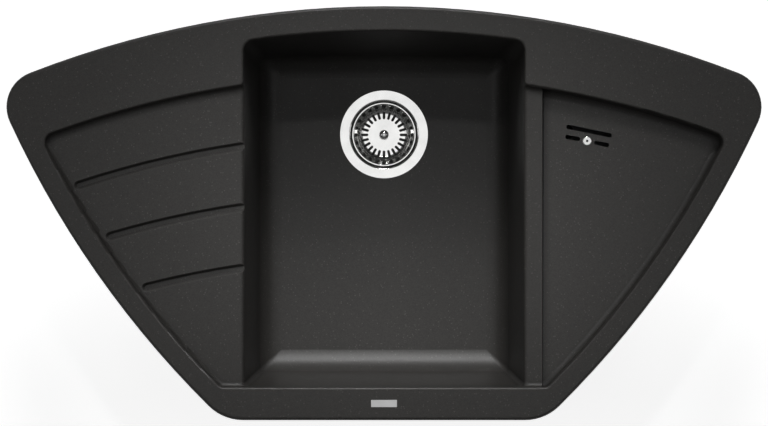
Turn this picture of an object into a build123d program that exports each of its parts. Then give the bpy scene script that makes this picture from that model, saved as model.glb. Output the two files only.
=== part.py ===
from build123d import *
import math
import os

# Inset corner kitchen sink in moulded stone composite, for a corner base unit.
# Millimetres.  +Z is up and z = 0 is the top of the worktop, on which the rim
# rests.  The origin is the middle of the plan outline.  +Y points into the
# corner of the room and -Y to the person at the sink.

# ---------------------------------------------------------------- plan outline
overall_width = 930.0
overall_depth = 510.0
rear_arc_radius = 1200.0
side_arc_radius = 1200.0
rear_corner_radius = 45.0
front_corner_radius = 60.0

# ---------------------------------------------------------------- rim and skirt
rim_height = 10.0              # rim top above the worktop
rim_edge_radius = 4.0
seat_width = 12.0              # flat ring that rests on the worktop
skirt_inset = 18.0             # outer face of the downstand, from the edge
skirt_thickness = 8.0
skirt_depth = 27.0             # below the worktop's top
seal_height = 2.5
seal_clearance = 0.2

# ---------------------------------------------------------------- recessed surface
recess_depth = 9.0             # drainer surface below the rim top
rear_deck = 85.0               # rim to recess, along Y
side_strip = 27.0
front_strip = 40.7
recess_draft = 5.0             # degrees
front_draft = 3.6
recess_rear_corner = 12.0
recess_front_corner = 10.0
recess_floor_radius = 5.5
recess_edge_radius = 3.0
pan_wall = 8.0                 # thickness of the recess's sides
pan_floor = 9.0                # thickness of the recess's and the tray's floors

# ---------------------------------------------------------------- main bowl
bowl_half_width = 172.5        # at the drainer level
bowl_rear_strip = 30.0         # rim left behind the bowl
bowl_depth = 190.0             # below the rim top
bowl_side_draft = 4.7
bowl_floor_inset = 56.0        # from the sink's rear edge to the end of the bowl's floor
bowl_floor_radius = 30.0
bowl_rear_corner = 14.0
bowl_edge_radius = 5.5
bowl_wall = 9.0
bowl_floor_thickness = 10.0
bowl_floor_trim = 0.05         # floor rise that trims the pointed ends of the corner blends

# ---------------------------------------------------------------- side tray
divider_width = 22.5           # between the bowl and the tray, at the drainer level
tray_front_width = 6.05882     # at the recess's front line, before its corner is rounded
tray_left_draft = 12.0
tray_front_inset = 48.0        # from the sink's front edge to the tray's front end
tray_rear_depth = 22.0         # below the rim top, at the rear wall
tray_front_depth = 14.0
tray_floor_radius = 7.0

# ---------------------------------------------------------------- drainer grooves
groove_count = 3
groove_pitch = 75.0
groove_top_width = 11.0
groove_floor_width = 4.4
groove_depth = 3.6
groove_lip = 0.8               # how far its cutter stands above the drainer
groove_shoulder_inset = 0.5    # steeper first step of its side
groove_shoulder_depth = 0.6
groove_side_margin = 1.0       # to the rounding at the recess's side

# ---------------------------------------------------------------- overflow
overflow_from_tray = 56.2      # from the tray's left wall
overflow_from_rear = 165.7     # from the sink's rear edge
overflow_turn = -11.6          # degrees, along the rear edge
slot_width = 5.5
long_slot = 57.5
short_slot = 19.0
long_slot_offset = 12.4        # rows of slots
short_slot_offset = 18.2       # from the screw, each side
overflow_screw_head = 5.6      # radius
overflow_screw_shank = 2.5
overflow_head_height = 2.9
overflow_head_proud = 0.3      # above the tray's floor
overflow_socket = 1.7
pad_z = -28.0                  # flat underside that the overflow housing meets
pad_length = 84.0
pad_width = 44.0
pad_corner = 10.0
pad_offset = 6.0               # middle of the slots, from the screw
overflow_seal_thickness = 2.0
housing_length = 80.0          # its flange; the box below is narrower
housing_width = 40.0
housing_corner = 9.0
housing_flange = 4.0
housing_step = 2.5
housing_wall = 3.0
housing_depth = 27.0           # from its flange's top to its bottom
housing_boss_radius = 6.0
overflow_insert_radius = 4.0
overflow_insert_length = 12.0
overflow_screw_spare = 4.0     # the screw's end, above the housing's bottom
spigot_length = 20.0

# ---------------------------------------------------------------- waste
waste_from_rear = 153.5        # from the sink's rear edge
cup_radius = 43.6
cup_depth = 34.0
cup_wall = 1.2
cup_corner = 3.0
flange_lip = 12.9              # flange beyond the cup
flange_thickness = 1.2
flange_throat = 2.6            # rounding into the cup
flange_rebate_clearance = 1.0
flange_rebate_depth = 2.0
waste_hole_clearance = 1.4     # round the cup
flange_seal_margin = 0.5       # inside the flange and outside the hole
cup_drain_radius = 24.0        # open middle of the cup's floor
cup_spoke_width = 5.0
cup_hub_radius = 9.0
cup_hub_height = 5.0
waste_screw_radius = 3.0
waste_screw_head = 6.0         # radius
waste_screw_head_height = 3.0
waste_screw_spare = 1.0        # its end, above the blind hole's floor
driver_slot_width = 1.4
driver_slot_depth = 1.2
body_seal_thickness = 6.0
body_seal_clearance = 1.0      # outside the hole
body_flange_lip = 12.4         # flange beyond the cup
body_flange_thickness = 3.0
pot_clearance = 1.0            # round the cup
pot_wall = 3.0
pot_depth = 44.0               # from the flange's top to the funnel
funnel_depth = 14.0
funnel_wall_drop = 1.8         # inner funnel above the outer one, which keeps the wall's thickness
outlet_radius = 23.9           # G 1 1/2 tail
outlet_bore = 20.5
outlet_length = 31.0
spider_rib = 3.0
spider_height = 10.0
hub_floor = 2.0                # below the insert
waste_insert_radius = 5.0
waste_insert_length = 10.0
inlet_drop = 26.0              # overflow inlet below the flange's top
inlet_length = 27.4            # outside the pot
spigot_radius = 12.0
spigot_bore = 9.5
hose_radius = 13.0
hose_root_depth = 1.6
hose_bend = 70.0
hose_offset = 24.0             # hose nearer to the bowl than the overflow screw
rib_pitch = 4.0
cuff_bevel = 0.5
nut_thickness = 4.7
nut_length = 23.0
nut_overlap = 15.0             # nut's grip on the spigot
nut_ridges = 16
nut_ridge_radius = 2.0
nut_ridge_offset = 1.2         # the dents' middle, outside the nut
nut_ridge_margin = 3.0
fit_gap = 0.3                  # round pieces that are slipped together
running_gap = 0.05             # turned pieces that guide each other

# ---------------------------------------------------------------- strainer basket
basket_clearance = 1.1         # inside the cup
basket_rim_drop = 0.9          # below the bowl's floor
basket_rim_fold = 1.8
basket_rim_width = 2.3
basket_sheet = 1.0
basket_floor_radius = 28.0
basket_foot_width = 4.5        # sloped ring outside the flat floor
basket_foot_rise = 2.0
basket_wall_lean = 6.3         # wall's half-height place, inside the rim
basket_slots = 24
basket_slot_width = 3.4
basket_slot_inside = 7.7       # slots run across the flat floor's edge,
basket_slot_outside = 1.8      # so far on each side of it
basket_slot_reach = 22.0       # cutter's height
basket_seal_lap = 2.0          # seal beyond the open middle
basket_seal_thickness = 5.0
knob_radius = 6.0
knob_drop = 6.0                # its top below the bowl's floor
knob_height = 9.0
stem_radius = 3.0
stem_tip_radius = 2.0
stem_tip_length = 3.5
clip_radius = 5.5
clip_thickness = 0.8
clip_recess_radius = 7.0
clip_recess_depth = 2.5

# ---------------------------------------------------------------- badge, tap pockets
badge_width = 32.0
badge_depth = 9.0
badge_corner = 0.8
badge_thickness = 0.9
badge_bevel = 0.2
badge_pocket_depth = 0.6
badge_gap = 0.2                # all round, in its pocket
badge_inset = 20.8             # its middle, from the sink's front edge
tap_radius = 17.5
tap_depth = 6.0
tap_from_bowl = 37.5           # its middle, outside the bowl's edge
tap_inset = 46.0               # from the rear edge

# ---------------------------------------------------------------- fixing clamps
rear_clamps = (80.0, 195.0)    # from the sink's widest point, along X
side_clamps = (80.0, 195.0)    # from the sink's front edge, along Y
worktop_max = 42.0             # worktop thickness with the claw at rest
claw_travel = 14.0
bracket_gauge = 1.5
bracket_half_width = 13.0
bracket_edge = 4.5             # plate above its screws
bracket_foot_drop = 8.0        # foot below the claw at rest
bracket_foot_reach = 9.0       # foot beyond the clamp screw
bracket_bend_radius = 1.0
bracket_seat_gap = 0.15        # flat plate against the curved downstand
bracket_slot_below = 0.6       # slot beyond the claw's travel
bracket_slot_above = 1.0
bracket_screw_rise = 4.5       # above the downstand's lower edge
bracket_screw_place = 7.0      # each side of the bracket's middle
bracket_screw_radius = 1.9
bracket_screw_depth = 6.0
bracket_screw_end_gap = 0.5
bracket_hole_clearance = 0.2
bracket_screw_head = 3.6
bracket_screw_head_height = 2.0
cross_length = 2.2             # half of the driver cross
cross_half_width = 0.5
cross_depth = 0.9
clamp_screw_reach = 11.0       # from the downstand's inner face
clamp_screw_radius = 2.5
clamp_screw_spare = 2.5        # above the claw's highest place
clamp_screw_head = 4.75
clamp_screw_head_height = 3.5
clamp_cross_length = 3.3
clamp_cross_half_width = 0.65
clamp_cross_depth = 1.6
clamp_collar_radius = 4.0
clamp_collar_height = 1.1
claw_half_width = 7.0
claw_thickness = 6.5
claw_tip_inset = 5.0           # from the sink's edge
claw_tip_length = 4.0
claw_tip_slope = 1.5
claw_tip_height = 1.5
claw_side_gap = 0.3

# ---------------------------------------------------------------- worked-out places
rim_top = rim_height
drainer_z = rim_top - recess_depth
bowl_floor_z = rim_top - bowl_depth
bowl_root_z = bowl_floor_z - bowl_floor_trim
bowl_under_z = bowl_floor_z - bowl_floor_thickness
bowl_under_root_z = bowl_under_z - bowl_floor_trim
front_y = -overall_depth / 2
rear_y = overall_depth / 2
rear_cy = rear_y - rear_arc_radius
recess_front_y = front_y + front_strip
bowl_floor_rear = rear_y - bowl_floor_inset
tray_left = bowl_half_width + divider_width
tray_front = front_y + tray_front_inset
tray_rear = rear_cy - rear_deck + math.sqrt(rear_arc_radius ** 2 - tray_left ** 2)
overflow_x = tray_left + overflow_from_tray
overflow_y = rear_y - overflow_from_rear
waste_y = rear_y - waste_from_rear
waste_hole_radius = cup_radius + waste_hole_clearance
flange_radius = cup_radius + flange_lip
body_flange_radius = cup_radius + body_flange_lip
rebate_z = bowl_floor_z - flange_rebate_depth
flange_low_z = bowl_floor_z - flange_thickness
cup_floor_z = bowl_floor_z - cup_depth
body_top_z = bowl_under_z - body_seal_thickness
pot_radius = cup_radius + pot_clearance
pot_low_z = body_top_z - pot_depth
outlet_top_z = pot_low_z - funnel_depth
outlet_low_z = outlet_top_z - outlet_length
spider_low_z = pot_low_z - spider_height / 2
insert_low_z = spider_low_z + hub_floor
inlet_z = body_top_z - inlet_drop
inlet_reach = pot_radius + pot_wall + inlet_length
basket_rim_radius = cup_radius - cup_wall - basket_clearance
basket_under_z = cup_floor_z + basket_seal_thickness
clip_top_z = cup_floor_z + clip_recess_depth
hose_top_x = overflow_x - hose_offset
housing_top_z = pad_z - overflow_seal_thickness
housing_low_z = housing_top_z - housing_depth
spigot_low_z = housing_low_z - spigot_length
badge_y = front_y + badge_inset
tap_x = bowl_half_width + tap_from_bowl
bracket_face = skirt_inset + skirt_thickness + bracket_seat_gap
bracket_screw_z = -skirt_depth + bracket_screw_rise
claw_top_z = -worktop_max
claw_arm_z = claw_top_z - claw_tip_height
claw_low_z = claw_arm_z - claw_thickness
bracket_foot_z = claw_low_z - bracket_foot_drop
clamp_screw_inset = skirt_inset + skirt_thickness + clamp_screw_reach
far = 700.0                    # larger than the sink, for cutting blocks
high_z = rim_top + 5.0         # top of the cutting blocks
tray_block_z = rim_top - tray_rear_depth - 30.0
block_low_z = bowl_floor_z - 60.0
half_lap = 60.0                # rear bowl's cutting block, past the join of the two halves


def tan_deg(angle):
    return math.tan(math.radians(angle))


def circles_meet(centre_a, radius_a, centre_b, radius_b, side):
    """Return where two circles cross, on the left (+1) or right (-1) of a to b."""
    dx = centre_b[0] - centre_a[0]
    dy = centre_b[1] - centre_a[1]
    gap = math.hypot(dx, dy)
    along = (radius_a ** 2 - radius_b ** 2 + gap ** 2) / (2 * gap)
    off = math.sqrt(radius_a ** 2 - along ** 2) * side
    ux, uy = dx / gap, dy / gap
    return (centre_a[0] + along * ux - off * uy, centre_a[1] + along * uy + off * ux)


def side_centre():
    """Centre of the arc of the -X side: it meets the rear corner's arc in a smooth
    line, and the recess inside it leaves the tray its width at the front."""
    corner_x = -(overall_width / 2 - rear_corner_radius)
    corner_run = rear_arc_radius - rear_corner_radius
    corner_y = rear_cy + math.sqrt(corner_run ** 2 - corner_x ** 2)
    recess_corner = (-(tray_left + tray_front_width), recess_front_y)
    return circles_meet((corner_x, corner_y), side_arc_radius - rear_corner_radius,
                        recess_corner, side_arc_radius - side_strip, 1)


side_cx, side_cy = side_centre()


def arc_about(centre, radius, start, end):
    """Arc of a circle from start to end, the short way."""
    mid = (Vector(*start) + Vector(*end)) * 0.5 - Vector(*centre)
    middle = Vector(*centre) + mid.normalized() * radius
    return ThreePointArc(start, (middle.X, middle.Y), end)


def fan(rear_drop, rear_inset, side_inset, front_line, rear_radius, front_radius):
    """Plan face like the sink: two side arcs, a rear arc and a straight front."""
    rear_c = (0, rear_cy - rear_drop)
    rear_r = rear_arc_radius - rear_inset
    left_c, right_c = (side_cx, side_cy), (-side_cx, side_cy)
    side_r = side_arc_radius - side_inset
    rear_right = circles_meet(rear_c, rear_r, right_c, side_r, -1)
    front_x = -side_cx + math.sqrt(side_r ** 2 - (front_line - side_cy) ** 2)
    rear_left = (-rear_right[0], rear_right[1])
    edges = [
        arc_about(rear_c, rear_r, rear_left, rear_right),
        arc_about(right_c, side_r, rear_right, (front_x, front_line)),
        Line((front_x, front_line), (-front_x, front_line)),
        arc_about(left_c, side_r, (-front_x, front_line), rear_left),
    ]
    face = make_face(edges)
    face = fillet(face.vertices().filter_by(lambda v: v.Y > 0), rear_radius)
    return fillet(face.vertices().filter_by(lambda v: abs(v.Y - front_line) < 0.01
                                            and abs(abs(v.X) - front_x) < 0.01), front_radius)


def outline(inset):
    """The sink's own outline, moved in by an even distance."""
    return fan(0, inset, inset, front_y + inset, rear_corner_radius - inset,
               front_corner_radius - inset)


def slab(face, low, high):
    """Upright block of a plan face between two heights."""
    return extrude(Pos(0, 0, low) * face, amount=high - low, dir=(0, 0, 1))


def box_between(x0, x1, y0, y1, z0, z1):
    return Pos((x0 + x1) / 2, (y0 + y1) / 2, (z0 + z1) / 2) * Box(x1 - x0, y1 - y0, z1 - z0)


def prism_along_x(points, x0, x1):
    """Block of a (Y, Z) polygon between two X places."""
    wire = Wire.make_polygon([(x0, y, z) for y, z in points], close=True)
    return extrude(Face(wire), amount=x1 - x0, dir=(1, 0, 0))


def prism_along_y(points, y0, y1):
    """Block of an (X, Z) polygon between two Y places."""
    wire = Wire.make_polygon([(x, y0, z) for x, z in points], close=True)
    return extrude(Face(wire), amount=y1 - y0, dir=(0, 1, 0))


def disc(cx, cy, radius, low, high):
    """Upright round bar between two heights."""
    return Pos(cx, cy, (low + high) / 2) * Cylinder(radius, high - low)


def turned(profile, cx=0.0, cy=0.0):
    """Solid turned about an upright axis from (radius, z) points.  A third
    number at a point rounds it by that radius."""
    face = Face(Wire.make_polygon([(p[0], p[1]) for p in profile], close=True))
    for point in profile:
        if len(point) == 3:
            corner = face.vertices().filter_by(
                lambda v: math.hypot(v.X - point[0], v.Y - point[1]) < 0.001)
            face = fillet(corner, point[2])
    return Pos(cx, cy, 0) * revolve(Rot(90, 0, 0) * face, axis=Axis.Z, revolution_arc=360)


def ring(cx, cy, inner, outer, low, high):
    return turned([(inner, low), (outer, low), (outer, high), (inner, high)], cx, cy)


def drum(cx, cy, top_radius, low):
    """Cone of the recess draft, from a height up to above the rim."""
    slope = tan_deg(recess_draft)
    low_radius = top_radius - (rim_top - low) * slope
    high_radius = top_radius + (high_z - rim_top) * slope
    return Pos(cx, cy, (low + high_z) / 2) * Cone(low_radius, high_radius, high_z - low)


def front_wall_y(z):
    return recess_front_y + (rim_top - z) * tan_deg(front_draft)


def recess_walls(low, grow=0.0):
    """Space inside the recess's four walls, from a height up to above the rim."""
    space = drum(0, rear_cy - rear_deck, rear_arc_radius + grow, low)
    space &= drum(side_cx, side_cy, side_arc_radius - side_strip + grow, low)
    space &= drum(-side_cx, side_cy, side_arc_radius - side_strip + grow, low)
    space &= prism_along_x([(front_wall_y(low) - grow, low), (far, low), (far, high_z),
                            (front_wall_y(high_z) - grow, high_z)], -far, far)
    return space


def bowl_half(z):
    return bowl_half_width - (drainer_z - z) * tan_deg(bowl_side_draft)


def bowl_slot(y0, y1):
    """Space between the bowl's two side walls and above its floor."""
    return prism_along_y([(-bowl_half(bowl_root_z), bowl_root_z),
                          (bowl_half(bowl_root_z), bowl_root_z),
                          (bowl_half(high_z), high_z), (-bowl_half(high_z), high_z)], y0, y1)


def bowl_rear(grow, floor_z, front):
    """Bowl from a Y place back to its rear wall, arched at the rim, straight at the floor."""
    arc_r = rear_arc_radius - bowl_rear_strip + grow
    half_top = bowl_half(high_z) + grow
    half_low = bowl_half(floor_z) + grow
    side_y = rear_cy + math.sqrt(arc_r ** 2 - half_top ** 2)
    top = Wire([
        Edge.make_line((-half_top, front(high_z), high_z), (half_top, front(high_z), high_z)),
        Edge.make_line((half_top, front(high_z), high_z), (half_top, side_y, high_z)),
        Edge.make_three_point_arc((half_top, side_y, high_z), (0, rear_cy + arc_r, high_z),
                                  (-half_top, side_y, high_z)),
        Edge.make_line((-half_top, side_y, high_z), (-half_top, front(high_z), high_z)),
    ])
    low = Wire.make_polygon([(-half_low, front(floor_z), floor_z), (half_low, front(floor_z), floor_z),
                             (half_low, bowl_floor_rear + grow, floor_z),
                             (-half_low, bowl_floor_rear + grow, floor_z)], close=True)
    return Solid.make_loft([low, top], ruled=True)


def upright(edge):
    return abs(edge.tangent_at(0.5).Z) > 0.9


def near(value, target, tolerance=0.05):
    return abs(value - target) < tolerance


def edges_at(solid, z):
    """Edges that lie wholly at one height."""
    return solid.edges().filter_by(
        lambda e: near(e.bounding_box().min.Z, z) and near(e.bounding_box().max.Z, z))


# ================================================================ sink body
def rim_block():
    block = slab(outline(0), block_low_z, rim_top)
    return fillet(edges_at(block, rim_top), rim_edge_radius)


def left_of_tray(low):
    """Space on the drainer's side of the tray's left wall."""
    lean = tan_deg(tray_left_draft)
    return prism_along_y([(-far, low), (tray_left + (drainer_z - low) * lean, low),
                          (tray_left + (drainer_z - high_z) * lean, high_z), (-far, high_z)], -far, far)


def lip_edges(half):
    """Where the drainer level meets the bowl's two side walls."""
    return edges_at(half, drainer_z).filter_by(
        lambda e: near(abs(e.center().X), bowl_half_width, 0.5) and near(abs(e.tangent_at(0.5).Y), 1))


def front_half():
    """The basin on the user's side of Y = 0, with no tray yet."""
    before = box_between(-far, far, -far, 0, -far, far)
    half = rim_block() & before
    drainer = left_of_tray(drainer_z) & box_between(-far, far, -far, 0, drainer_z, high_z)
    half -= recess_walls(bowl_root_z) & (drainer + bowl_slot(-far, 0)) & before
    corner = half.edges().filter_by(
        lambda e: upright(e) and e.center().X < -bowl_half_width - 5
        and near(e.center().Y, recess_front_y, 3) and near(e.length, recess_depth, 1))
    half = fillet(corner, recess_front_corner)
    floor = edges_at(half, bowl_root_z).filter_by(lambda e: e.center().Y < -1)
    half = fillet(floor, bowl_floor_radius)
    half = fillet(lip_edges(half), bowl_edge_radius)
    line = edges_at(half, drainer_z).filter_by(
        lambda e: near(e.center().Y, front_wall_y(drainer_z), 0.3))
    return fillet(line, recess_floor_radius)


def rear_half():
    """The basin behind Y = 0, with no tray yet."""
    behind = box_between(-far, far, 0, far, -far, far)
    half = rim_block() & behind
    half -= recess_walls(drainer_z) & left_of_tray(drainer_z) & behind
    corner = half.edges().filter_by(
        lambda e: upright(e) and near(e.length, recess_depth, 1)
        and e.center().X < -bowl_half_width and e.center().Y > 1)
    half = fillet(corner, recess_rear_corner)
    line = edges_at(half, drainer_z).filter_by(lambda e: e.center().Y > 100)
    half = fillet(line, recess_floor_radius)
    basin = bowl_rear(0, bowl_root_z, lambda z: -half_lap)
    basin = fillet(edges_at(basin, bowl_root_z).filter_by(lambda e: e.center().Y > 10 - half_lap),
                   bowl_floor_radius)
    basin = fillet(basin.edges().filter_by(
        lambda e: upright(e) and e.center().Y > 100 and e.length > 90), bowl_rear_corner)
    half -= basin & behind
    return fillet(lip_edges(half), bowl_edge_radius)


def tray_floor(y):
    """Height of the tray's floor, which falls to the rear."""
    share = (y - tray_front) / (tray_rear - tray_front)
    return rim_top - tray_front_depth - share * (tray_rear_depth - tray_front_depth)


def above_tray_floor(drop):
    return prism_along_x([(-far, tray_floor(-far) - drop), (far, tray_floor(far) - drop),
                          (far, high_z), (-far, high_z)], -far, far)


def tray_space():
    """The tray's hollow: its walls are the recess's, carried on down to a tilted floor."""
    space = (recess_walls(tray_block_z) - left_of_tray(tray_block_z)) & above_tray_floor(0)
    space &= box_between(0, far, -far, far, tray_block_z, high_z)
    walls = space.edges().filter_by(upright)
    rear_corner = walls.filter_by(lambda e: e.center().Y > 0 and e.center().X > tray_left + 20)
    space = fillet(rear_corner, recess_rear_corner)
    front_corner = space.edges().filter_by(
        lambda e: upright(e) and e.center().Y < 0 and e.center().X > tray_left + 4)
    space = fillet(front_corner, recess_front_corner)
    lowest = [e for e in space.edges() if e.bounding_box().max.Z < rim_top - tray_front_depth + 2
              and not upright(e)]
    side = [e for e in lowest if e.center().X > tray_left + 30 and e.center().Y < 60]
    return fillet(side, tray_floor_radius)


def underside():
    """What is left of the moulding below: rim, downstand, pan, bowl, tray and overflow pad."""
    shape = box_between(-far, far, -far, far, 0, far)
    shape += slab(outline(skirt_inset) - outline(skirt_inset + skirt_thickness), -skirt_depth, 1)
    pan = fan(rear_deck, -pan_wall, side_strip - pan_wall, recess_front_y - pan_wall,
              recess_rear_corner + pan_wall, recess_front_corner + pan_wall)
    shape += slab(pan, drainer_z - pan_floor, 1)
    bowl = bowl_rear(bowl_wall, bowl_under_root_z, lambda z: front_wall_y(z) - bowl_wall)
    bowl = fillet(edges_at(bowl, bowl_under_root_z), bowl_floor_radius + bowl_wall)
    bowl = fillet(bowl.edges().filter_by(lambda e: upright(e) and e.length > 80),
                  bowl_rear_corner + bowl_wall)
    shape += bowl & box_between(-far, far, -far, far, bowl_under_z, 1)
    tray = recess_walls(tray_block_z, pan_wall) & above_tray_floor(pan_floor)
    tray &= box_between(bowl_half_width, far, -far, far, tray_block_z, 1)
    shape += tray
    pad = Pos(0, pad_offset) * RectangleRounded(pad_length, pad_width, pad_corner)
    shape += overflow_place() * slab(pad, pad_z, drainer_z - pan_wall / 2)
    return shape


def overflow_place():
    return Pos(overflow_x, overflow_y, 0) * Rot(0, 0, overflow_turn)


def groove_cut(number):
    """One drainer groove: an arc like the rear edge, open to the bowl."""
    cy = rear_cy - rear_deck - groove_pitch * number
    top, low = groove_top_width / 2, groove_floor_width / 2
    left_inset = side_strip + recess_floor_radius + top + groove_side_margin
    end = circles_meet((0, cy), rear_arc_radius, (side_cx, side_cy), side_arc_radius - left_inset, 1)
    if end[1] < cy:
        end = circles_meet((0, cy), rear_arc_radius, (side_cx, side_cy), side_arc_radius - left_inset, -1)
    far_angle = math.degrees(math.asin(-end[0] / rear_arc_radius))
    near_angle = math.degrees(math.asin((bowl_half_width - 2 * bowl_edge_radius) / rear_arc_radius))
    half_section = [(top + 1.5 * groove_lip, groove_lip),
                    (top - groove_shoulder_inset, -groove_shoulder_depth), (low, -groove_depth)]
    section = half_section + [(-v, z) for v, z in reversed(half_section)]
    wire = Wire.make_polygon([(0, cy + rear_arc_radius + v, drainer_z + z) for v, z in section], close=True)
    face = Face(wire).rotate(Axis((0, cy, 0), (0, 0, 1)), near_angle)
    run = revolve(face, axis=Axis((0, cy, 0), (0, 0, 1)), revolution_arc=far_angle - near_angle)
    cup = Wire.make_polygon([(0, 0, groove_lip)] + [(v, 0, z) for v, z in half_section]
                            + [(0, 0, -groove_depth)], close=True)
    cup = revolve(Face(cup), axis=Axis.Z, revolution_arc=360)
    return run + Pos(end[0], end[1], drainer_z) * cup


def tap_y():
    run = rear_arc_radius - tap_inset
    return rear_cy + math.sqrt(run ** 2 - tap_x ** 2)


def clamp_places():
    """Frames of the eight clamps: x runs inwards from the sink's edge, y along it."""
    marks = []
    for from_side in reversed(rear_clamps):
        x = overall_width / 2 - from_side
        y = rear_cy + math.sqrt(rear_arc_radius ** 2 - x ** 2)
        marks += [(-x, y, 0, rear_cy), (x, y, 0, rear_cy)]
    for from_front in reversed(side_clamps):
        y = front_y + from_front
        x = side_cx - math.sqrt(side_arc_radius ** 2 - (y - side_cy) ** 2)
        marks += [(x, y, side_cx, side_cy), (-x, y, -side_cx, side_cy)]
    return [Pos(x, y, 0) * Rot(0, 0, math.degrees(math.atan2(cy - y, cx - x)))
            for x, y, cx, cy in marks]


def bar_along_x(x0, x1, y, z, radius):
    return Pos((x0 + x1) / 2, y, z) * Rot(0, 90, 0) * Cylinder(radius, x1 - x0)


def screw_holes():
    """Pilot holes in the downstand, for the brackets' screws."""
    inner = skirt_inset + skirt_thickness
    holes = []
    for place in clamp_places():
        for side in (-1, 1):
            holes.append(place * bar_along_x(inner - bracket_screw_depth, inner + 1,
                                             side * bracket_screw_place, bracket_screw_z,
                                             bracket_screw_radius + running_gap))
    return holes


def overflow_top_z():
    return tray_floor(overflow_y) + overflow_head_proud


def overflow_holes():
    """Slots through the tray's floor, and the screw's stepped hole."""
    row = Pos(0, long_slot_offset) * SlotOverall(long_slot, slot_width)
    for side in (-1, 1):
        row += Pos(side * short_slot_offset, 0) * SlotOverall(short_slot, slot_width)
    return [
        overflow_place() * slab(row, pad_z - 1, 1),
        disc(overflow_x, overflow_y, overflow_screw_shank + fit_gap, pad_z - 1, 1),
        disc(overflow_x, overflow_y, overflow_screw_head + fit_gap,
             overflow_top_z() - overflow_head_height, 1),
    ]


def sink_body():
    basin = front_half() + rear_half()
    basin += box_between(-bowl_half_width, bowl_half_width, recess_front_y, bowl_floor_rear,
                         bowl_under_root_z, bowl_floor_z)
    basin -= tray_space()
    loop = edges_at(basin, rim_top).filter_by(
        lambda e: e.length > 0.5 and near(e.center().Y, recess_front_y, 0.3))
    basin = fillet(loop, recess_edge_radius)
    body = basin & underside()
    for number in range(1, groove_count + 1):
        body -= groove_cut(number)
    body -= slab(outline(seat_width) - outline(skirt_inset), 0, seal_height)
    body -= disc(0, waste_y, waste_hole_radius, bowl_under_z - 1, bowl_floor_z + 1)
    body -= disc(0, waste_y, flange_radius + flange_rebate_clearance, rebate_z, bowl_floor_z + 1)
    pocket = RectangleRounded(badge_width + 2 * badge_gap, badge_depth + 2 * badge_gap,
                              badge_corner + badge_gap)
    body -= slab(Pos(0, badge_y) * pocket, rim_top - badge_pocket_depth, rim_top + 1)
    for side in (-1, 1):
        body -= disc(side * tap_x, tap_y(), tap_radius, -1, tap_depth)
    for cut in overflow_holes() + screw_holes():
        body -= cut
    return body


# ================================================================ rim and waste pieces
def rim_seal():
    return slab(outline(seat_width + seal_clearance) - outline(skirt_inset - seal_clearance),
                0, seal_height)


def badge_plate():
    low = rim_top - badge_pocket_depth
    plate = slab(Pos(0, badge_y) * RectangleRounded(badge_width, badge_depth, badge_corner),
                 low, low + badge_thickness)
    return chamfer(edges_at(plate, low + badge_thickness), badge_bevel)


def flange_seal():
    return ring(0, waste_y, waste_hole_radius + flange_seal_margin,
                flange_radius - flange_seal_margin, rebate_z, flange_low_z)


def strainer_flange():
    inner = cup_radius - cup_wall
    low = cup_floor_z - cup_wall
    shell = turned([
        (flange_radius, bowl_floor_z), (inner, bowl_floor_z, flange_throat),
        (inner, cup_floor_z, cup_corner), (cup_drain_radius, cup_floor_z), (cup_drain_radius, low),
        (cup_radius, low, cup_corner + cup_wall), (cup_radius, flange_low_z, flange_throat - cup_wall),
        (flange_radius, flange_low_z)])
    spoke = Box(2 * cup_drain_radius + 2, cup_spoke_width, cup_wall)
    for turn in (45, 135):
        shell += Pos(0, 0, cup_floor_z - cup_wall / 2) * Rot(0, 0, turn) * spoke
    shell += disc(0, 0, cup_hub_radius, cup_floor_z - cup_hub_height, cup_floor_z)
    shell -= disc(0, 0, waste_screw_radius + fit_gap, cup_floor_z - cup_hub_height - 1, cup_floor_z + 1)
    shell -= disc(0, 0, waste_screw_head + fit_gap, cup_floor_z - waste_screw_head_height, cup_floor_z + 1)
    return Pos(0, waste_y, 0) * shell


def waste_screw():
    head_low = cup_floor_z - waste_screw_head_height
    end = insert_low_z + waste_screw_spare
    screw = turned([
        (0, cup_floor_z), (waste_screw_head, cup_floor_z, 0.8), (waste_screw_head, head_low),
        (waste_screw_radius, head_low), (waste_screw_radius, end), (0, end)])
    screw -= Pos(0, 0, cup_floor_z) * Box(2 * waste_screw_head + 1, driver_slot_width,
                                          2 * driver_slot_depth)
    screw -= disc(0, 0, stem_tip_radius + running_gap, cup_floor_z - stem_tip_length - 1, cup_floor_z + 1)
    return Pos(0, waste_y, 0) * screw


def waste_insert():
    return ring(0, waste_y, waste_screw_radius + running_gap, waste_insert_radius,
                insert_low_z, insert_low_z + waste_insert_length)


def waste_body():
    outer = pot_radius + pot_wall
    shell_outside = [(0, body_top_z), (outer, body_top_z), (outer, pot_low_z),
                     (outlet_radius, outlet_top_z), (outlet_radius, outlet_low_z), (0, outlet_low_z)]
    body = turned(shell_outside)
    flange_low = body_top_z - body_flange_thickness
    body += disc(0, 0, body_flange_radius, flange_low, body_top_z)
    body += bar_along_x(0, inlet_reach, 0, inlet_z, spigot_radius)
    body -= turned([(0, body_top_z + 1), (pot_radius, body_top_z + 1),
                    (pot_radius, pot_low_z + funnel_wall_drop),
                    (outlet_bore, outlet_top_z + funnel_wall_drop), (outlet_bore, outlet_low_z - 1),
                    (0, outlet_low_z - 1)])
    body -= bar_along_x(0, inlet_reach + 1, 0, inlet_z, spigot_bore)
    hub_top = insert_low_z + waste_insert_length
    spider = disc(0, 0, waste_insert_radius + pot_wall, spider_low_z, hub_top)
    rib = box_between(0, outer, -spider_rib / 2, spider_rib / 2, spider_low_z,
                      spider_low_z + spider_height)
    for turn in (60, 180, 300):
        spider += Rot(0, 0, turn) * rib
    body += spider & turned(shell_outside)
    body -= disc(0, 0, waste_insert_radius + running_gap, insert_low_z, hub_top + 1)
    return Pos(0, waste_y, 0) * body


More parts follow.
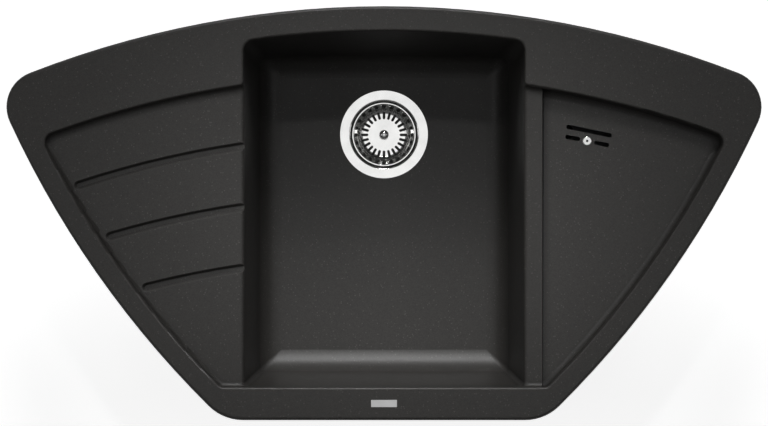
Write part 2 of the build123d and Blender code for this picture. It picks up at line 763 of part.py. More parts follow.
def body_seal():
    return ring(0, waste_y, waste_hole_radius + body_seal_clearance, body_flange_radius,
                body_top_z, bowl_under_z)


# ================================================================ strainer basket
def strainer_basket():
    rim = basket_rim_radius
    sheet = basket_sheet
    low = basket_under_z + sheet
    top = bowl_floor_z - basket_rim_drop
    middle = (low + top) / 2
    shoulder = top - basket_rim_width
    hole = stem_radius + running_gap
    wall = rim - basket_rim_width
    foot = basket_floor_radius + basket_foot_width
    basket = turned([
        (hole, low), (basket_floor_radius, low, 4.0), (foot, low + basket_foot_rise, 3.0),
        (rim - basket_wall_lean, middle, 12.0), (wall - 0.4, shoulder, 1.0), (wall, top, 0.6),
        (rim, top, 0.7), (rim, top - basket_rim_fold), (rim - sheet, top - basket_rim_fold),
        (rim - sheet, top - sheet), (wall + 0.9, top - sheet), (wall + 0.7, shoulder, 2.0),
        (rim - basket_wall_lean + 1.1 * sheet, middle - 0.2 * sheet, 11.0),
        (foot + 0.6 * sheet, low + basket_foot_rise - sheet, 4.0),
        (basket_floor_radius, low - sheet, 5.0), (hole, low - sheet)])
    start = basket_floor_radius - basket_slot_inside
    end = basket_floor_radius + basket_slot_outside
    slot = slab(Pos((start + end) / 2, 0) * SlotOverall(end - start, basket_slot_width),
                basket_under_z - basket_seal_thickness, low + basket_slot_reach)
    for number in range(basket_slots):
        basket -= Rot(0, 0, 360 * number / basket_slots) * slot
    return Pos(0, waste_y, 0) * basket


def basket_seal():
    top = basket_under_z
    outer = cup_drain_radius + basket_seal_lap
    seal = turned([
        (stem_radius + fit_gap, top), (outer, top), (outer, cup_floor_z, 1.5),
        (clip_recess_radius, cup_floor_z), (clip_recess_radius, clip_top_z),
        (stem_radius + fit_gap, clip_top_z)])
    return Pos(0, waste_y, 0) * seal


def stem_clip():
    return ring(0, waste_y, stem_tip_radius + 2 * running_gap, clip_radius,
                clip_top_z - clip_thickness, clip_top_z)


def basket_knob():
    shoulder = cup_floor_z + fit_gap
    knob_top = bowl_floor_z - knob_drop
    knob_low = knob_top - knob_height
    groove_low = clip_top_z - clip_thickness - running_gap
    groove_high = clip_top_z + running_gap
    return turned([
        (0, knob_top), (knob_radius, knob_top, 2.5), (knob_radius, knob_low + 3.5, 1.5),
        (stem_radius, knob_low), (stem_radius, groove_high), (stem_tip_radius, groove_high),
        (stem_tip_radius, groove_low), (stem_radius, groove_low), (stem_radius, shoulder),
        (stem_tip_radius, shoulder), (stem_tip_radius, cup_floor_z - stem_tip_length, 0.6),
        (0, cup_floor_z - stem_tip_length)], 0, waste_y)


# ================================================================ overflow
def overflow_screw():
    top = overflow_top_z()
    seat = top - overflow_head_height
    end = housing_low_z + overflow_screw_spare
    screw = turned([
        (0, top), (overflow_screw_head, top, 0.9), (overflow_screw_head, seat),
        (overflow_screw_shank, seat), (overflow_screw_shank, end), (0, end)])
    screw -= Pos(0, 0, top) * extrude(RegularPolygon(overflow_socket, 6), amount=-overflow_socket)
    return Pos(overflow_x, overflow_y, 0) * screw


def housing_plan(shrink):
    return Pos(0, pad_offset) * RectangleRounded(housing_length - 2 * shrink,
                                                 housing_width - 2 * shrink,
                                                 housing_corner - shrink)


def overflow_seal():
    inner = housing_plan(housing_step + housing_wall)
    return overflow_place() * slab(housing_plan(0) - inner, housing_top_z, pad_z)


def overflow_housing():
    box = slab(housing_plan(0), housing_top_z - housing_flange, housing_top_z)
    box += slab(housing_plan(housing_step), housing_low_z, housing_top_z - 1)
    box -= slab(housing_plan(housing_step + housing_wall), housing_low_z + housing_wall,
                housing_top_z + 1)
    box += disc(0, 0, housing_boss_radius, housing_low_z, housing_top_z)
    box -= disc(0, 0, overflow_screw_shank + fit_gap, housing_low_z - 1, housing_top_z + 1)
    box -= disc(0, 0, overflow_insert_radius + running_gap, housing_low_z - 1,
                housing_low_z + overflow_insert_length)
    body = overflow_place() * box
    body += disc(hose_top_x, waste_y, spigot_radius, spigot_low_z, housing_low_z)
    body -= disc(hose_top_x, waste_y, spigot_bore, spigot_low_z - 1, housing_low_z + housing_wall)
    return body


def overflow_insert():
    return ring(overflow_x, overflow_y, overflow_screw_shank + running_gap, overflow_insert_radius,
                housing_low_z, housing_low_z + overflow_insert_length)


def hose_point(run):
    """Place and direction (x, z) of the hose's middle line, after a length of it."""
    drop = spigot_low_z - inlet_z - hose_bend
    bend = math.pi / 2 * hose_bend
    if run < drop:
        return (hose_top_x, spigot_low_z - run), (0.0, -1.0)
    if run < drop + bend:
        angle = (run - drop) / hose_bend
        x = hose_top_x - hose_bend * (1 - math.cos(angle))
        z = spigot_low_z - drop - hose_bend * math.sin(angle)
        return (x, z), (-math.sin(angle), -math.cos(angle))
    return (hose_top_x - hose_bend - (run - drop - bend), inlet_z), (-1.0, 0.0)


def hose_length():
    drop = spigot_low_z - inlet_z - hose_bend
    return drop + math.pi / 2 * hose_bend + hose_top_x - hose_bend - inlet_reach


def hose_circle(run, radius):
    (x, z), (dx, dz) = hose_point(run)
    plane = Plane(origin=(x, waste_y, z), x_dir=(0, 1, 0), z_dir=(dx, 0, dz))
    return Wire.make_circle(radius, plane)


def overflow_hose():
    """Ribbed hose with plain cuffs, from the overflow's spigot to the waste's inlet."""
    length = hose_length()
    cuff = 2 * hose_radius
    ribs = int((length - 2 * cuff) / rib_pitch)
    start = (length - ribs * rib_pitch) / 2
    root = hose_radius - hose_root_depth
    circles = [hose_circle(0, spigot_radius), hose_circle(start - cuff_bevel, spigot_radius)]
    for rib in range(ribs):
        for share, radius in ((0.0, root), (0.3, root), (0.45, hose_radius), (0.85, hose_radius)):
            circles.append(hose_circle(start + (rib + share) * rib_pitch, radius))
    circles.append(hose_circle(length - start, root))
    circles += [hose_circle(length - start + cuff_bevel, spigot_radius),
                hose_circle(length, spigot_radius)]
    body = Solid.make_loft(circles, ruled=True)
    tightest = hose_bend - hose_radius
    print("hose ribs", ribs, "length", round(length, 1), "least bend radius", hose_bend,
          "least gap between crests, inside the bend",
          round(0.6 * rib_pitch * tightest / hose_bend, 2))
    drop = spigot_low_z - inlet_z - hose_bend
    turn = math.radians(45)
    corner = (hose_top_x, waste_y, spigot_low_z - drop)
    middle = (hose_top_x - hose_bend * (1 - math.cos(turn)), waste_y,
              corner[2] - hose_bend * math.sin(turn))
    landing = (hose_top_x - hose_bend, waste_y, inlet_z)
    path = Wire([
        Edge.make_line((hose_top_x, waste_y, spigot_low_z), corner),
        Edge.make_three_point_arc(corner, middle, landing),
        Edge.make_line(landing, (inlet_reach, waste_y, inlet_z)),
    ])
    bore = sweep(Plane(origin=(hose_top_x, waste_y, spigot_low_z), x_dir=(0, 1, 0),
                       z_dir=(0, 0, -1)) * Circle(spigot_bore), path=path)
    return body - bore


def hose_nut():
    """Ridged union nut about the Z axis, from z = 0 up."""
    inner = spigot_radius + fit_gap
    outer = inner + nut_thickness
    nut = turned([(inner, 0), (outer, 0, 0.8), (outer, nut_length, 0.8), (inner, nut_length)])
    dent = disc(outer + nut_ridge_offset, 0, nut_ridge_radius, nut_ridge_margin,
                nut_length - nut_ridge_margin)
    for number in range(nut_ridges):
        nut -= Rot(0, 0, 360 * number / nut_ridges) * dent
    return nut


def hose_nut_top():
    return Pos(hose_top_x, waste_y, spigot_low_z + nut_overlap - nut_length) * hose_nut()


def hose_nut_bottom():
    return Pos(inlet_reach - nut_overlap, waste_y, inlet_z) * Rot(0, 90, 0) * hose_nut()


# ================================================================ fixing clamps
def clamp_bracket():
    """Angle plate in a clamp's frame, with the claw's slot and three holes."""
    inner = bracket_face + bracket_gauge
    foot_top = bracket_foot_z + bracket_gauge
    foot_end = clamp_screw_inset + bracket_foot_reach
    plate_top = bracket_screw_z + bracket_edge
    wide = bracket_half_width
    plate = prism_along_y([(bracket_face, plate_top), (bracket_face, bracket_foot_z),
                           (foot_end, bracket_foot_z), (foot_end, foot_top),
                           (inner, foot_top), (inner, plate_top)], -wide, wide)
    plate = fillet(edges_at(plate, bracket_foot_z).filter_by(
        lambda e: near(e.center().X, bracket_face)), bracket_bend_radius + bracket_gauge)
    plate = fillet(edges_at(plate, foot_top).filter_by(lambda e: near(e.center().X, inner)),
                   bracket_bend_radius)
    slot = claw_half_width + claw_side_gap
    plate -= box_between(bracket_face - 1, inner + 1, -slot, slot, claw_low_z - bracket_slot_below,
                         claw_arm_z + claw_travel + bracket_slot_above)
    plate -= disc(clamp_screw_inset, 0, clamp_screw_radius + running_gap, bracket_foot_z - 1,
                  foot_top + 1)
    for side in (-1, 1):
        plate -= bar_along_x(bracket_face - 1, inner + 1, side * bracket_screw_place,
                             bracket_screw_z, bracket_screw_radius + bracket_hole_clearance)
    return plate


def bracket_screw(side):
    """Cross-head screw through the plate into the downstand, in a clamp's frame."""
    inner = bracket_face + bracket_gauge
    end = inner + bracket_screw_head_height
    y = side * bracket_screw_place
    z = bracket_screw_z
    tip = skirt_inset + skirt_thickness - bracket_screw_depth + bracket_screw_end_gap
    head = bar_along_x(inner, end, y, z, bracket_screw_head)
    head = fillet(head.edges().filter_by(lambda e: e.center().X > inner + 1), 0.8)
    for half_y, half_z in ((cross_half_width, cross_length), (cross_length, cross_half_width)):
        head -= box_between(end - cross_depth, end + 1, y - half_y, y + half_y,
                            z - half_z, z + half_z)
    return head + bar_along_x(tip, inner, y, z, bracket_screw_radius)


def clamp_screw():
    """Screw that turns in the bracket's foot, kept there by its head and a collar."""
    head_top = bracket_foot_z - running_gap
    head_low = head_top - clamp_screw_head_height
    collar_low = bracket_foot_z + bracket_gauge + running_gap
    collar_top = collar_low + clamp_collar_height
    top = claw_arm_z + claw_travel + clamp_screw_spare
    screw = turned([
        (0, top), (clamp_screw_radius, top, 0.6), (clamp_screw_radius, collar_top),
        (clamp_collar_radius, collar_top), (clamp_collar_radius, collar_low),
        (clamp_screw_radius, collar_low), (clamp_screw_radius, head_top),
        (clamp_screw_head, head_top), (clamp_screw_head, head_low, 0.6), (0, head_low)],
        clamp_screw_inset, 0)
    for half_x, half_y in ((clamp_cross_length, clamp_cross_half_width),
                           (clamp_cross_half_width, clamp_cross_length)):
        screw -= box_between(clamp_screw_inset - half_x, clamp_screw_inset + half_x,
                             -half_y, half_y, head_low - 1, head_low + clamp_cross_depth)
    return screw


def clamp_claw():
    """Claw that climbs the screw: hub, arm through the bracket's slot, raised tip."""
    wide = claw_half_width
    inside = claw_tip_inset
    claw = box_between(inside, clamp_screw_inset, -wide, wide, claw_low_z, claw_arm_z)
    claw += disc(clamp_screw_inset, 0, wide, claw_low_z, claw_arm_z)
    claw += prism_along_y([(inside, claw_arm_z - 1), (inside, claw_top_z),
                           (inside + claw_tip_length - claw_tip_slope, claw_top_z),
                           (inside + claw_tip_length, claw_arm_z),
                           (inside + claw_tip_length, claw_arm_z - 1)], -wide, wide)
    return claw - disc(clamp_screw_inset, 0, clamp_screw_radius + running_gap, claw_low_z - 1,
                       claw_arm_z + 1)


# ================================================================ nodes

nodes = {
    "sink_body": sink_body,
    "rim_seal": rim_seal,
    "badge_plate": badge_plate,
    "flange_seal": flange_seal,
    "strainer_flange": strainer_flange,
    "waste_screw": waste_screw,
    "waste_insert": waste_insert,
    "waste_body": waste_body,
    "body_seal": body_seal,
    "strainer_basket": strainer_basket,
    "basket_seal": basket_seal,
    "stem_clip": stem_clip,
    "basket_knob": basket_knob,
    "overflow_screw": overflow_screw,
    "overflow_seal": overflow_seal,
    "overflow_housing": overflow_housing,
    "overflow_insert": overflow_insert,
    "overflow_hose": overflow_hose,
    "hose_nut_top": hose_nut_top,
    "hose_nut_bottom": hose_nut_bottom,
}


def write_node(name, shape):
    export_step(shape, "parts/" + name + ".step")


def main():
    os.makedirs("parts", exist_ok=True)
    for name, make in nodes.items():
        write_node(name, make())
    brackets = []
    screws = []
    for number, place in enumerate(clamp_places(), 1):
        brackets.append(place * clamp_bracket())
        screws += [place * bracket_screw(side) for side in (-1, 1)]
        write_node("clamp_screw_" + str(number), place * clamp_screw())
        write_node("clamp_claw_" + str(number), place * clamp_claw())
    write_node("clamp_brackets", Compound(children=brackets))
    write_node("bracket_screws", Compound(children=screws))


if __name__ == "__main__":
    main()
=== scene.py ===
"""Corner kitchen sink: finishes, hose, threads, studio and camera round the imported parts."""

import logging
import math
from collections.abc import Callable, Sequence
from dataclasses import dataclass, field
from enum import Enum

import bmesh
import bpy
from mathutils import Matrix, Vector


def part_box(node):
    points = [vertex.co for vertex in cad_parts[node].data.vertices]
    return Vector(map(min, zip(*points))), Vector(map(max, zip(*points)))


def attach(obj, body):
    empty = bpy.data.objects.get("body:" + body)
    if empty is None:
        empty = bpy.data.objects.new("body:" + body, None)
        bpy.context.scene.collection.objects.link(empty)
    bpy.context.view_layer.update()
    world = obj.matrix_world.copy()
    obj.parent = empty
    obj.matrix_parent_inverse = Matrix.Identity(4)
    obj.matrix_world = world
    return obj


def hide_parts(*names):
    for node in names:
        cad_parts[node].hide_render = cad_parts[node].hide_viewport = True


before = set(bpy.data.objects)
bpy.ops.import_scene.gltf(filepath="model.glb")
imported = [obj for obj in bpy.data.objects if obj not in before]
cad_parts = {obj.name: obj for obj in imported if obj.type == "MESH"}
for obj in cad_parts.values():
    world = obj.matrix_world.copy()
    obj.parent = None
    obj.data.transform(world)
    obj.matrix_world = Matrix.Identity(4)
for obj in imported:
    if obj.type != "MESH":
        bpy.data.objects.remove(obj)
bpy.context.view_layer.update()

log = logging.getLogger("corner_sink")

Colour = tuple[float, float, float]
Point = tuple[float, float, float]
Socket = bpy.types.NodeSocket

RIM_TOP = 0.010                # rim above the worktop plane, in metres
WASTE_AXIS = (0.0, 0.1015)     # X and Y of the strainer's axis
OVERFLOW_CENTRE = (0.2512, 0.0893, 0.0)
PLATE_GRAIN_CENTRE = (0.9, -0.2342, 0.0)    # so far off that the plate's brushing runs straight


class Body(Enum):
    """The rigid bodies that pieces made here ride on."""

    SINK = "sink"
    STEM = "basket_stem"


class Graph:
    """A node tree with short calls that add and join its nodes."""

    def __init__(self, tree: bpy.types.NodeTree) -> None:
        """Takes a tree and empties it.

        Args:
            tree: The tree of a material, a world or a node group.
        """
        self.tree = tree
        tree.nodes.clear()

    def add(self, kind: str, inputs: dict[str | int, object] | None = None,
            **settings: object) -> bpy.types.Node:
        """Adds one node.

        Args:
            kind: The node's type, without the leading "ShaderNode".
            inputs: What goes into its sockets: a socket is joined, a value is set.
            **settings: Properties of the node itself.

        Returns:
            The new node.
        """
        name = kind if kind.startswith("Node") else "ShaderNode" + kind
        node = self.tree.nodes.new(name)
        for key, value in settings.items():
            setattr(node, key, value)
        for key, value in (inputs or {}).items():
            if isinstance(value, Socket):
                self.tree.links.new(value, node.inputs[key])
            else:
                node.inputs[key].default_value = value
        return node

    def math(self, operation: str, first: object, second: object = 0.5) -> Socket:
        """Adds a Math node and returns its result."""
        return self.add("Math", {0: first, 1: second}, operation=operation).outputs[0]

    def scaled(self, value: object, low: float, high: float) -> Socket:
        """Maps 0 to 1 onto low to high and returns the result."""
        node = self.add("MapRange", {"Value": value, "To Min": low, "To Max": high})
        return node.outputs["Result"]

    def mixed(self, share: object, first: object, second: object) -> Socket:
        """Mixes two colours.

        Args:
            share: How much of the second colour shows, from 0 to 1.
            first: The colour at 0.
            second: The colour at 1.

        Returns:
            The mixed colour.
        """
        node = self.add("Mix", data_type="RGBA")
        for place, value in ((0, share), (6, first), (7, second)):
            if isinstance(value, Socket):
                self.tree.links.new(value, node.inputs[place])
            else:
                node.inputs[place].default_value = value if place == 0 else (*value, 1.0)
        return node.outputs[2]

    def bump(self, height: Socket, strength: float, distance: float) -> Socket:
        """Turns a height into a normal.

        Args:
            height: The height, about 0 to 1.
            strength: How much of it shows, from 0 to 1.
            distance: What a height of 1 stands for, in metres.

        Returns:
            The normal.
        """
        node = self.add("Bump", {"Strength": strength, "Distance": distance, "Height": height})
        return node.outputs["Normal"]


class EffectGroup:
    """A shader node group, built once and placed in each material that shows its effect."""

    built: dict[str, bpy.types.NodeTree] = {}

    def __init__(self, name: str, inputs: Sequence[tuple[str, str, object]],
                 outputs: Sequence[tuple[str, str]],
                 fill: Callable[[Graph, bpy.types.Node], dict[str, Socket]]) -> None:
        """Notes what the group is made of.

        Args:
            name: The group's name.
            inputs: Name, socket kind and default of each input.
            outputs: Name and socket kind of each output.
            fill: Builds the inside and returns the socket for each output.
        """
        self.name = name
        self.inputs = inputs
        self.outputs = outputs
        self.fill = fill

    def tree(self) -> bpy.types.NodeTree:
        """Makes the group on the first call.

        Returns:
            The group's tree.
        """
        if self.name not in self.built:
            tree = bpy.data.node_groups.new(self.name, "ShaderNodeTree")
            for name, kind, default in self.inputs:
                socket = tree.interface.new_socket(name, in_out="INPUT",
                                                   socket_type="NodeSocket" + kind)
                if default is not None:
                    socket.default_value = default
            for name, kind in self.outputs:
                tree.interface.new_socket(name, in_out="OUTPUT", socket_type="NodeSocket" + kind)
            graph = Graph(tree)
            entry = graph.add("NodeGroupInput")
            results = self.fill(graph, entry)
            graph.add("NodeGroupOutput", dict(results))
            self.built[self.name] = tree
        return self.built[self.name]

    def place(self, graph: Graph, values: dict[str, object]) -> bpy.types.Node:
        """Puts the group in a material.

        Args:
            graph: The material's graph.
            values: What goes into the group's inputs.

        Returns:
            The group's node, whose outputs carry the effect.
        """
        node = graph.add("Group", node_tree=self.tree())
        for name, value in values.items():
            if isinstance(value, Socket):
                graph.tree.links.new(value, node.inputs[name])
            else:
                node.inputs[name].default_value = value
        return node


def fill_stone_grain(graph: Graph, entry: bpy.types.Node) -> dict[str, Socket]:
    """Builds crushed grains bound in resin: each grain's shade, few bright ones, a fine relief.

    Args:
        graph: The group's graph.
        entry: The node that brings the group's inputs.

    Returns:
        The shade, the mask of bright flecks, the relief's height, and a slow cloud.
    """
    cloud_scale, fleck_scale, relief_scale = 0.09, 0.55, 1.4    # against the grains' own scale
    grain_share, cloud_share = 0.65, 0.35
    fleck_rarity, fleck_size = 0.94, 0.42
    place = entry.outputs["Vector"]
    fine = graph.math("DIVIDE", 1.0, entry.outputs["Grain"])
    cells = graph.add("TexVoronoi", {"Vector": place, "Scale": fine}, feature="F1")
    tone = graph.add("SeparateColor", {0: cells.outputs["Color"]}).outputs[0]
    coarse = graph.math("MULTIPLY", fine, cloud_scale)
    cloud = graph.add("TexNoise", {"Vector": place, "Scale": coarse, "Detail": 3.0,
                                   "Roughness": 0.6}).outputs[0]
    wide = graph.math("MULTIPLY", fine, fleck_scale)
    flecks = graph.add("TexVoronoi", {"Vector": place, "Scale": wide}, feature="F1")
    fleck_tone = graph.add("SeparateColor", {0: flecks.outputs["Color"]}).outputs[1]
    rare = graph.math("GREATER_THAN", fleck_tone, fleck_rarity)
    near = graph.math("LESS_THAN", flecks.outputs["Distance"], fleck_size)
    shade = graph.math("ADD", graph.math("MULTIPLY", tone, grain_share),
                       graph.math("MULTIPLY", cloud, cloud_share))
    dense = graph.math("MULTIPLY", fine, relief_scale)
    skin = graph.add("TexNoise", {"Vector": place, "Scale": dense, "Detail": 2.0}).outputs[0]
    return {"Shade": shade, "Fleck": graph.math("MULTIPLY", rare, near), "Height": skin,
            "Cloud": cloud}


def fill_edge_light(graph: Graph, entry: bpy.types.Node) -> dict[str, Socket]:
    """Builds a mask of the edges, from how far a rounded normal leans from the true one; finishes
    lighten their colour along it as rubbed wear and painted highlight.

    Args:
        graph: The group's graph.
        entry: The node that brings the group's inputs.

    Returns:
        The mask and the rounded normal.
    """
    full_lean = 0.86    # cosine of the lean at which an edge counts in full
    rounded = graph.add("Bevel", {"Radius": entry.outputs["Radius"]}, samples=6)
    true = graph.add("NewGeometry").outputs["Normal"]
    lean = graph.add("VectorMath", {0: rounded.outputs[0], 1: true}, operation="DOT_PRODUCT")
    open_edge = graph.add("MapRange", {"Value": lean.outputs["Value"], "From Min": 1.0,
                                       "From Max": full_lean})
    return {"Edge": open_edge.outputs["Result"], "Normal": rounded.outputs[0]}


def fill_turned_marks(graph: Graph, entry: bpy.types.Node) -> dict[str, Socket]:
    """Builds the fine rings that a lathe or a spinning press leaves round an upright axis.

    Args:
        graph: The group's graph.
        entry: The node that brings the group's inputs.

    Returns:
        The rings' height and a smear mask.
    """
    rise_share, smear_scale = 0.7, 60.0
    arm = graph.add("VectorMath", {0: entry.outputs["Vector"], 1: entry.outputs["Centre"]},
                    operation="SUBTRACT").outputs[0]
    parts = graph.add("SeparateXYZ", {0: arm})
    flat = graph.add("CombineXYZ", {0: parts.outputs[0], 1: parts.outputs[1]}).outputs[0]
    radius = graph.add("VectorMath", {0: flat}, operation="LENGTH").outputs["Value"]
    rise = graph.math("MULTIPLY", parts.outputs[2], rise_share)
    ring_place = graph.add("CombineXYZ", {0: radius, 1: rise}).outputs[0]
    rings = graph.add("TexNoise", {"Vector": ring_place, "Scale": entry.outputs["Fineness"],
                                   "Detail": 4.0, "Roughness": 0.7}).outputs[0]
    smears = graph.add("TexNoise", {"Vector": arm, "Scale": smear_scale,
                                    "Detail": 3.0}).outputs[0]
    return {"Height": rings, "Smear": smears}


def fill_moulded_skin(graph: Graph, entry: bpy.types.Node) -> dict[str, Socket]:
    """Builds the fine eroded skin of moulded plastic and rubber, with a slow drift in its shade.

    Args:
        graph: The group's graph.
        entry: The node that brings the group's inputs.

    Returns:
        The pits' height and the drift.
    """
    drift_scale = 35.0
    place = entry.outputs["Vector"]
    pits = graph.add("TexVoronoi", {"Vector": place, "Scale": entry.outputs["Fineness"]},
                     feature="SMOOTH_F1").outputs["Distance"]
    drift = graph.add("TexNoise", {"Vector": place, "Scale": drift_scale,
                                   "Detail": 4.0}).outputs[0]
    return {"Height": pits, "Drift": drift}


def fill_zinc_bloom(graph: Graph, entry: bpy.types.Node) -> dict[str, Socket]:
    """Builds zinc's patchy bloom and the rolling lines under it.

    Args:
        graph: The group's graph.
        entry: The node that brings the group's inputs.

    Returns:
        The bloom's mask and the lines' height.
    """
    bloom_scale, line_scale, line_stretch = 240.0, 160.0, (1.0, 1.0, 14.0)
    place = entry.outputs["Vector"]
    bloom = graph.add("TexNoise", {"Vector": place, "Scale": bloom_scale, "Detail": 6.0,
                                   "Roughness": 0.65}).outputs[0]
    stretched = graph.add("VectorMath", {0: place, 1: line_stretch},
                          operation="MULTIPLY").outputs[0]
    lines = graph.add("TexNoise", {"Vector": stretched, "Scale": line_scale,
                                   "Detail": 2.0}).outputs[0]
    return {"Bloom": bloom, "Height": lines}


def fill_dust_and_corner_shade(graph: Graph, entry: bpy.types.Node) -> dict[str, Socket]:
    """Builds masks from ambient occlusion: a broken dry film of dust that a cloth misses, and the
    corner itself, which the stone darkens as painted shade.

    Args:
        graph: The group's graph.
        entry: The node that brings the group's inputs.

    Returns:
        The film's mask and the corner's mask.
    """
    patch_scale, corner_start, corner_full = 45.0, 0.12, 0.36
    shelter = graph.add("AmbientOcclusion", {"Distance": entry.outputs["Reach"]}, samples=6)
    closed = graph.math("SUBTRACT", 1.0, shelter.outputs["AO"])
    patches = graph.add("TexNoise", {"Vector": entry.outputs["Vector"], "Scale": patch_scale,
                                     "Detail": 5.0}).outputs[0]
    corner = graph.add("MapRange", {"Value": closed, "From Min": corner_start,
                                    "From Max": corner_full})
    return {"Dust": graph.math("MULTIPLY", closed, patches), "Corner": corner.outputs["Result"]}


def fill_shaded_unpolished_hollow(graph: Graph, entry: bpy.types.Node) -> dict[str, Socket]:
    """Builds a mask of what lies under a height: the metal there is left unpolished and rougher,
    and its colour is darkened as painted shade.

    Args:
        graph: The group's graph.
        entry: The node that brings the group's inputs.

    Returns:
        The mask.
    """
    height = graph.add("SeparateXYZ", {0: entry.outputs["Vector"]}).outputs[2]
    under = graph.math("SUBTRACT", entry.outputs["Top"], height)
    fade = graph.add("MapRange", {"Value": under, "From Min": 0.0,
                                  "From Max": entry.outputs["Fade"]})
    return {"ShadedDull": fade.outputs["Result"]}


STONE_GRAIN = EffectGroup(
    "stone_grain", (("Vector", "Vector", None), ("Grain", "Float", 0.001)),
    (("Shade", "Float"), ("Fleck", "Float"), ("Height", "Float"), ("Cloud", "Float")),
    fill_stone_grain)
EDGE_LIGHT = EffectGroup(
    "edge_light", (("Radius", "Float", 0.001),), (("Edge", "Float"), ("Normal", "Vector")),
    fill_edge_light)
TURNED_MARKS = EffectGroup(
    "turned_marks", (("Vector", "Vector", None), ("Centre", "Vector", None),
                     ("Fineness", "Float", 900.0)),
    (("Height", "Float"), ("Smear", "Float")), fill_turned_marks)
MOULDED_SKIN = EffectGroup(
    "moulded_skin", (("Vector", "Vector", None), ("Fineness", "Float", 1500.0)),
    (("Height", "Float"), ("Drift", "Float")), fill_moulded_skin)
ZINC_BLOOM = EffectGroup(
    "zinc_bloom", (("Vector", "Vector", None),), (("Bloom", "Float"), ("Height", "Float")),
    fill_zinc_bloom)
SHADED_UNPOLISHED_HOLLOW = EffectGroup(
    "shaded_unpolished_hollow", (("Vector", "Vector", None), ("Top", "Float", 0.0),
                          ("Fade", "Float", 0.001)),
    (("ShadedDull", "Float"),), fill_shaded_unpolished_hollow)
DUST_AND_CORNER_SHADE = EffectGroup(
    "dust_and_corner_shade", (("Vector", "Vector", None), ("Reach", "Float", 0.01)),
    (("Dust", "Float"), ("Corner", "Float")), fill_dust_and_corner_shade)


def start_material(name: str) -> tuple[bpy.types.Material, Graph, Socket]:
    """Starts a node material.

    Args:
        name: The material's name.

    Returns:
        The material, its empty graph, and the place on the object in metres.
    """
    material = bpy.data.materials.new(name)
    material.use_nodes = True
    graph = Graph(material.node_tree)
    return material, graph, graph.add("TexCoord").outputs["Object"]


def end_material(graph: Graph, inputs: dict[str, object]) -> None:
    """Closes a material with its surface shader.

    Args:
        graph: The material's graph.
        inputs: What goes into the shader's sockets.
    """
    values = {key: (*value, 1.0) if isinstance(value, tuple) and len(value) == 3 else value
              for key, value in inputs.items()}
    shader = graph.add("BsdfPrincipled", values)
    graph.add("OutputMaterial", {"Surface": shader.outputs[0]})


@dataclass(frozen=True)
class StoneFinish:
    """Dark granite-filled resin with a satin, finely pitted skin."""

    name: str
    dark: Colour
    light: Colour
    fleck: Colour
    grain: float = 0.0011
    roughness: tuple[float, float] = (0.43, 0.50)
    gloss: float = 0.5
    relief: float = 0.00006
    edge: float = 0.0012
    corner: float = 0.012
    corner_shade_strength: float = 0.85
    corner_shade: float = 0.15
    corner_dull: float = 0.3
    fleck_share: float = 0.5
    rubbed_highlight_share: float = 0.5
    underside: Colour = (0.09, 0.09, 0.088)
    underside_share: float = 0.25
    underside_dull: float = 0.2
    relief_strength: float = 0.35

    def build(self) -> bpy.types.Material:
        """Makes the stone: rougher underneath, lighter on its edges (rubbed wear and painted
        highlight), darkened in its corners as painted shade.

        Returns:
            The material.
        """
        material, graph, place = start_material(self.name)
        grain = STONE_GRAIN.place(graph, {"Vector": place, "Grain": self.grain})
        edges = EDGE_LIGHT.place(graph, {"Radius": self.edge})
        hollows = DUST_AND_CORNER_SHADE.place(graph, {"Vector": place, "Reach": self.corner})
        colour = graph.mixed(grain.outputs["Shade"], self.dark, self.light)
        colour = graph.mixed(graph.math("MULTIPLY", grain.outputs["Fleck"], self.fleck_share),
                             colour, self.fleck)
        facing = graph.add("NewGeometry").outputs["True Normal"]
        down = graph.math("LESS_THAN", graph.add("SeparateXYZ", {0: facing}).outputs[2], -0.5)
        colour = graph.mixed(graph.math("MULTIPLY", down, self.underside_share), colour,
                             self.underside)
        # painted shade: corners found by ambient occlusion are darkened toward a near-black copy of
        # the dark tone, and made rougher below
        closed = graph.math("MULTIPLY", hollows.outputs["Corner"], self.corner_shade_strength)
        colour = graph.mixed(closed, colour, tuple(c * self.corner_shade for c in self.dark))
        # edges lightened toward the fleck colour: partly rubbed wear, partly a painted highlight;
        # kept off the corners
        rubbed_highlight = graph.math("MULTIPLY", edges.outputs["Edge"],
                            graph.math("SUBTRACT", 1.0, hollows.outputs["Corner"]))
        colour = graph.mixed(graph.math("MULTIPLY", rubbed_highlight, self.rubbed_highlight_share), colour, self.fleck)
        rough = graph.scaled(grain.outputs["Cloud"], *self.roughness)
        for mask, dull in ((down, self.underside_dull), (closed, self.corner_dull)):
            rough = graph.math("ADD", rough, graph.math("MULTIPLY", mask, dull))
        end_material(graph, {
            "Base Color": colour, "Roughness": rough, "Specular IOR Level": self.gloss,
            "Normal": graph.bump(grain.outputs["Height"], self.relief_strength, self.relief)})
        return material


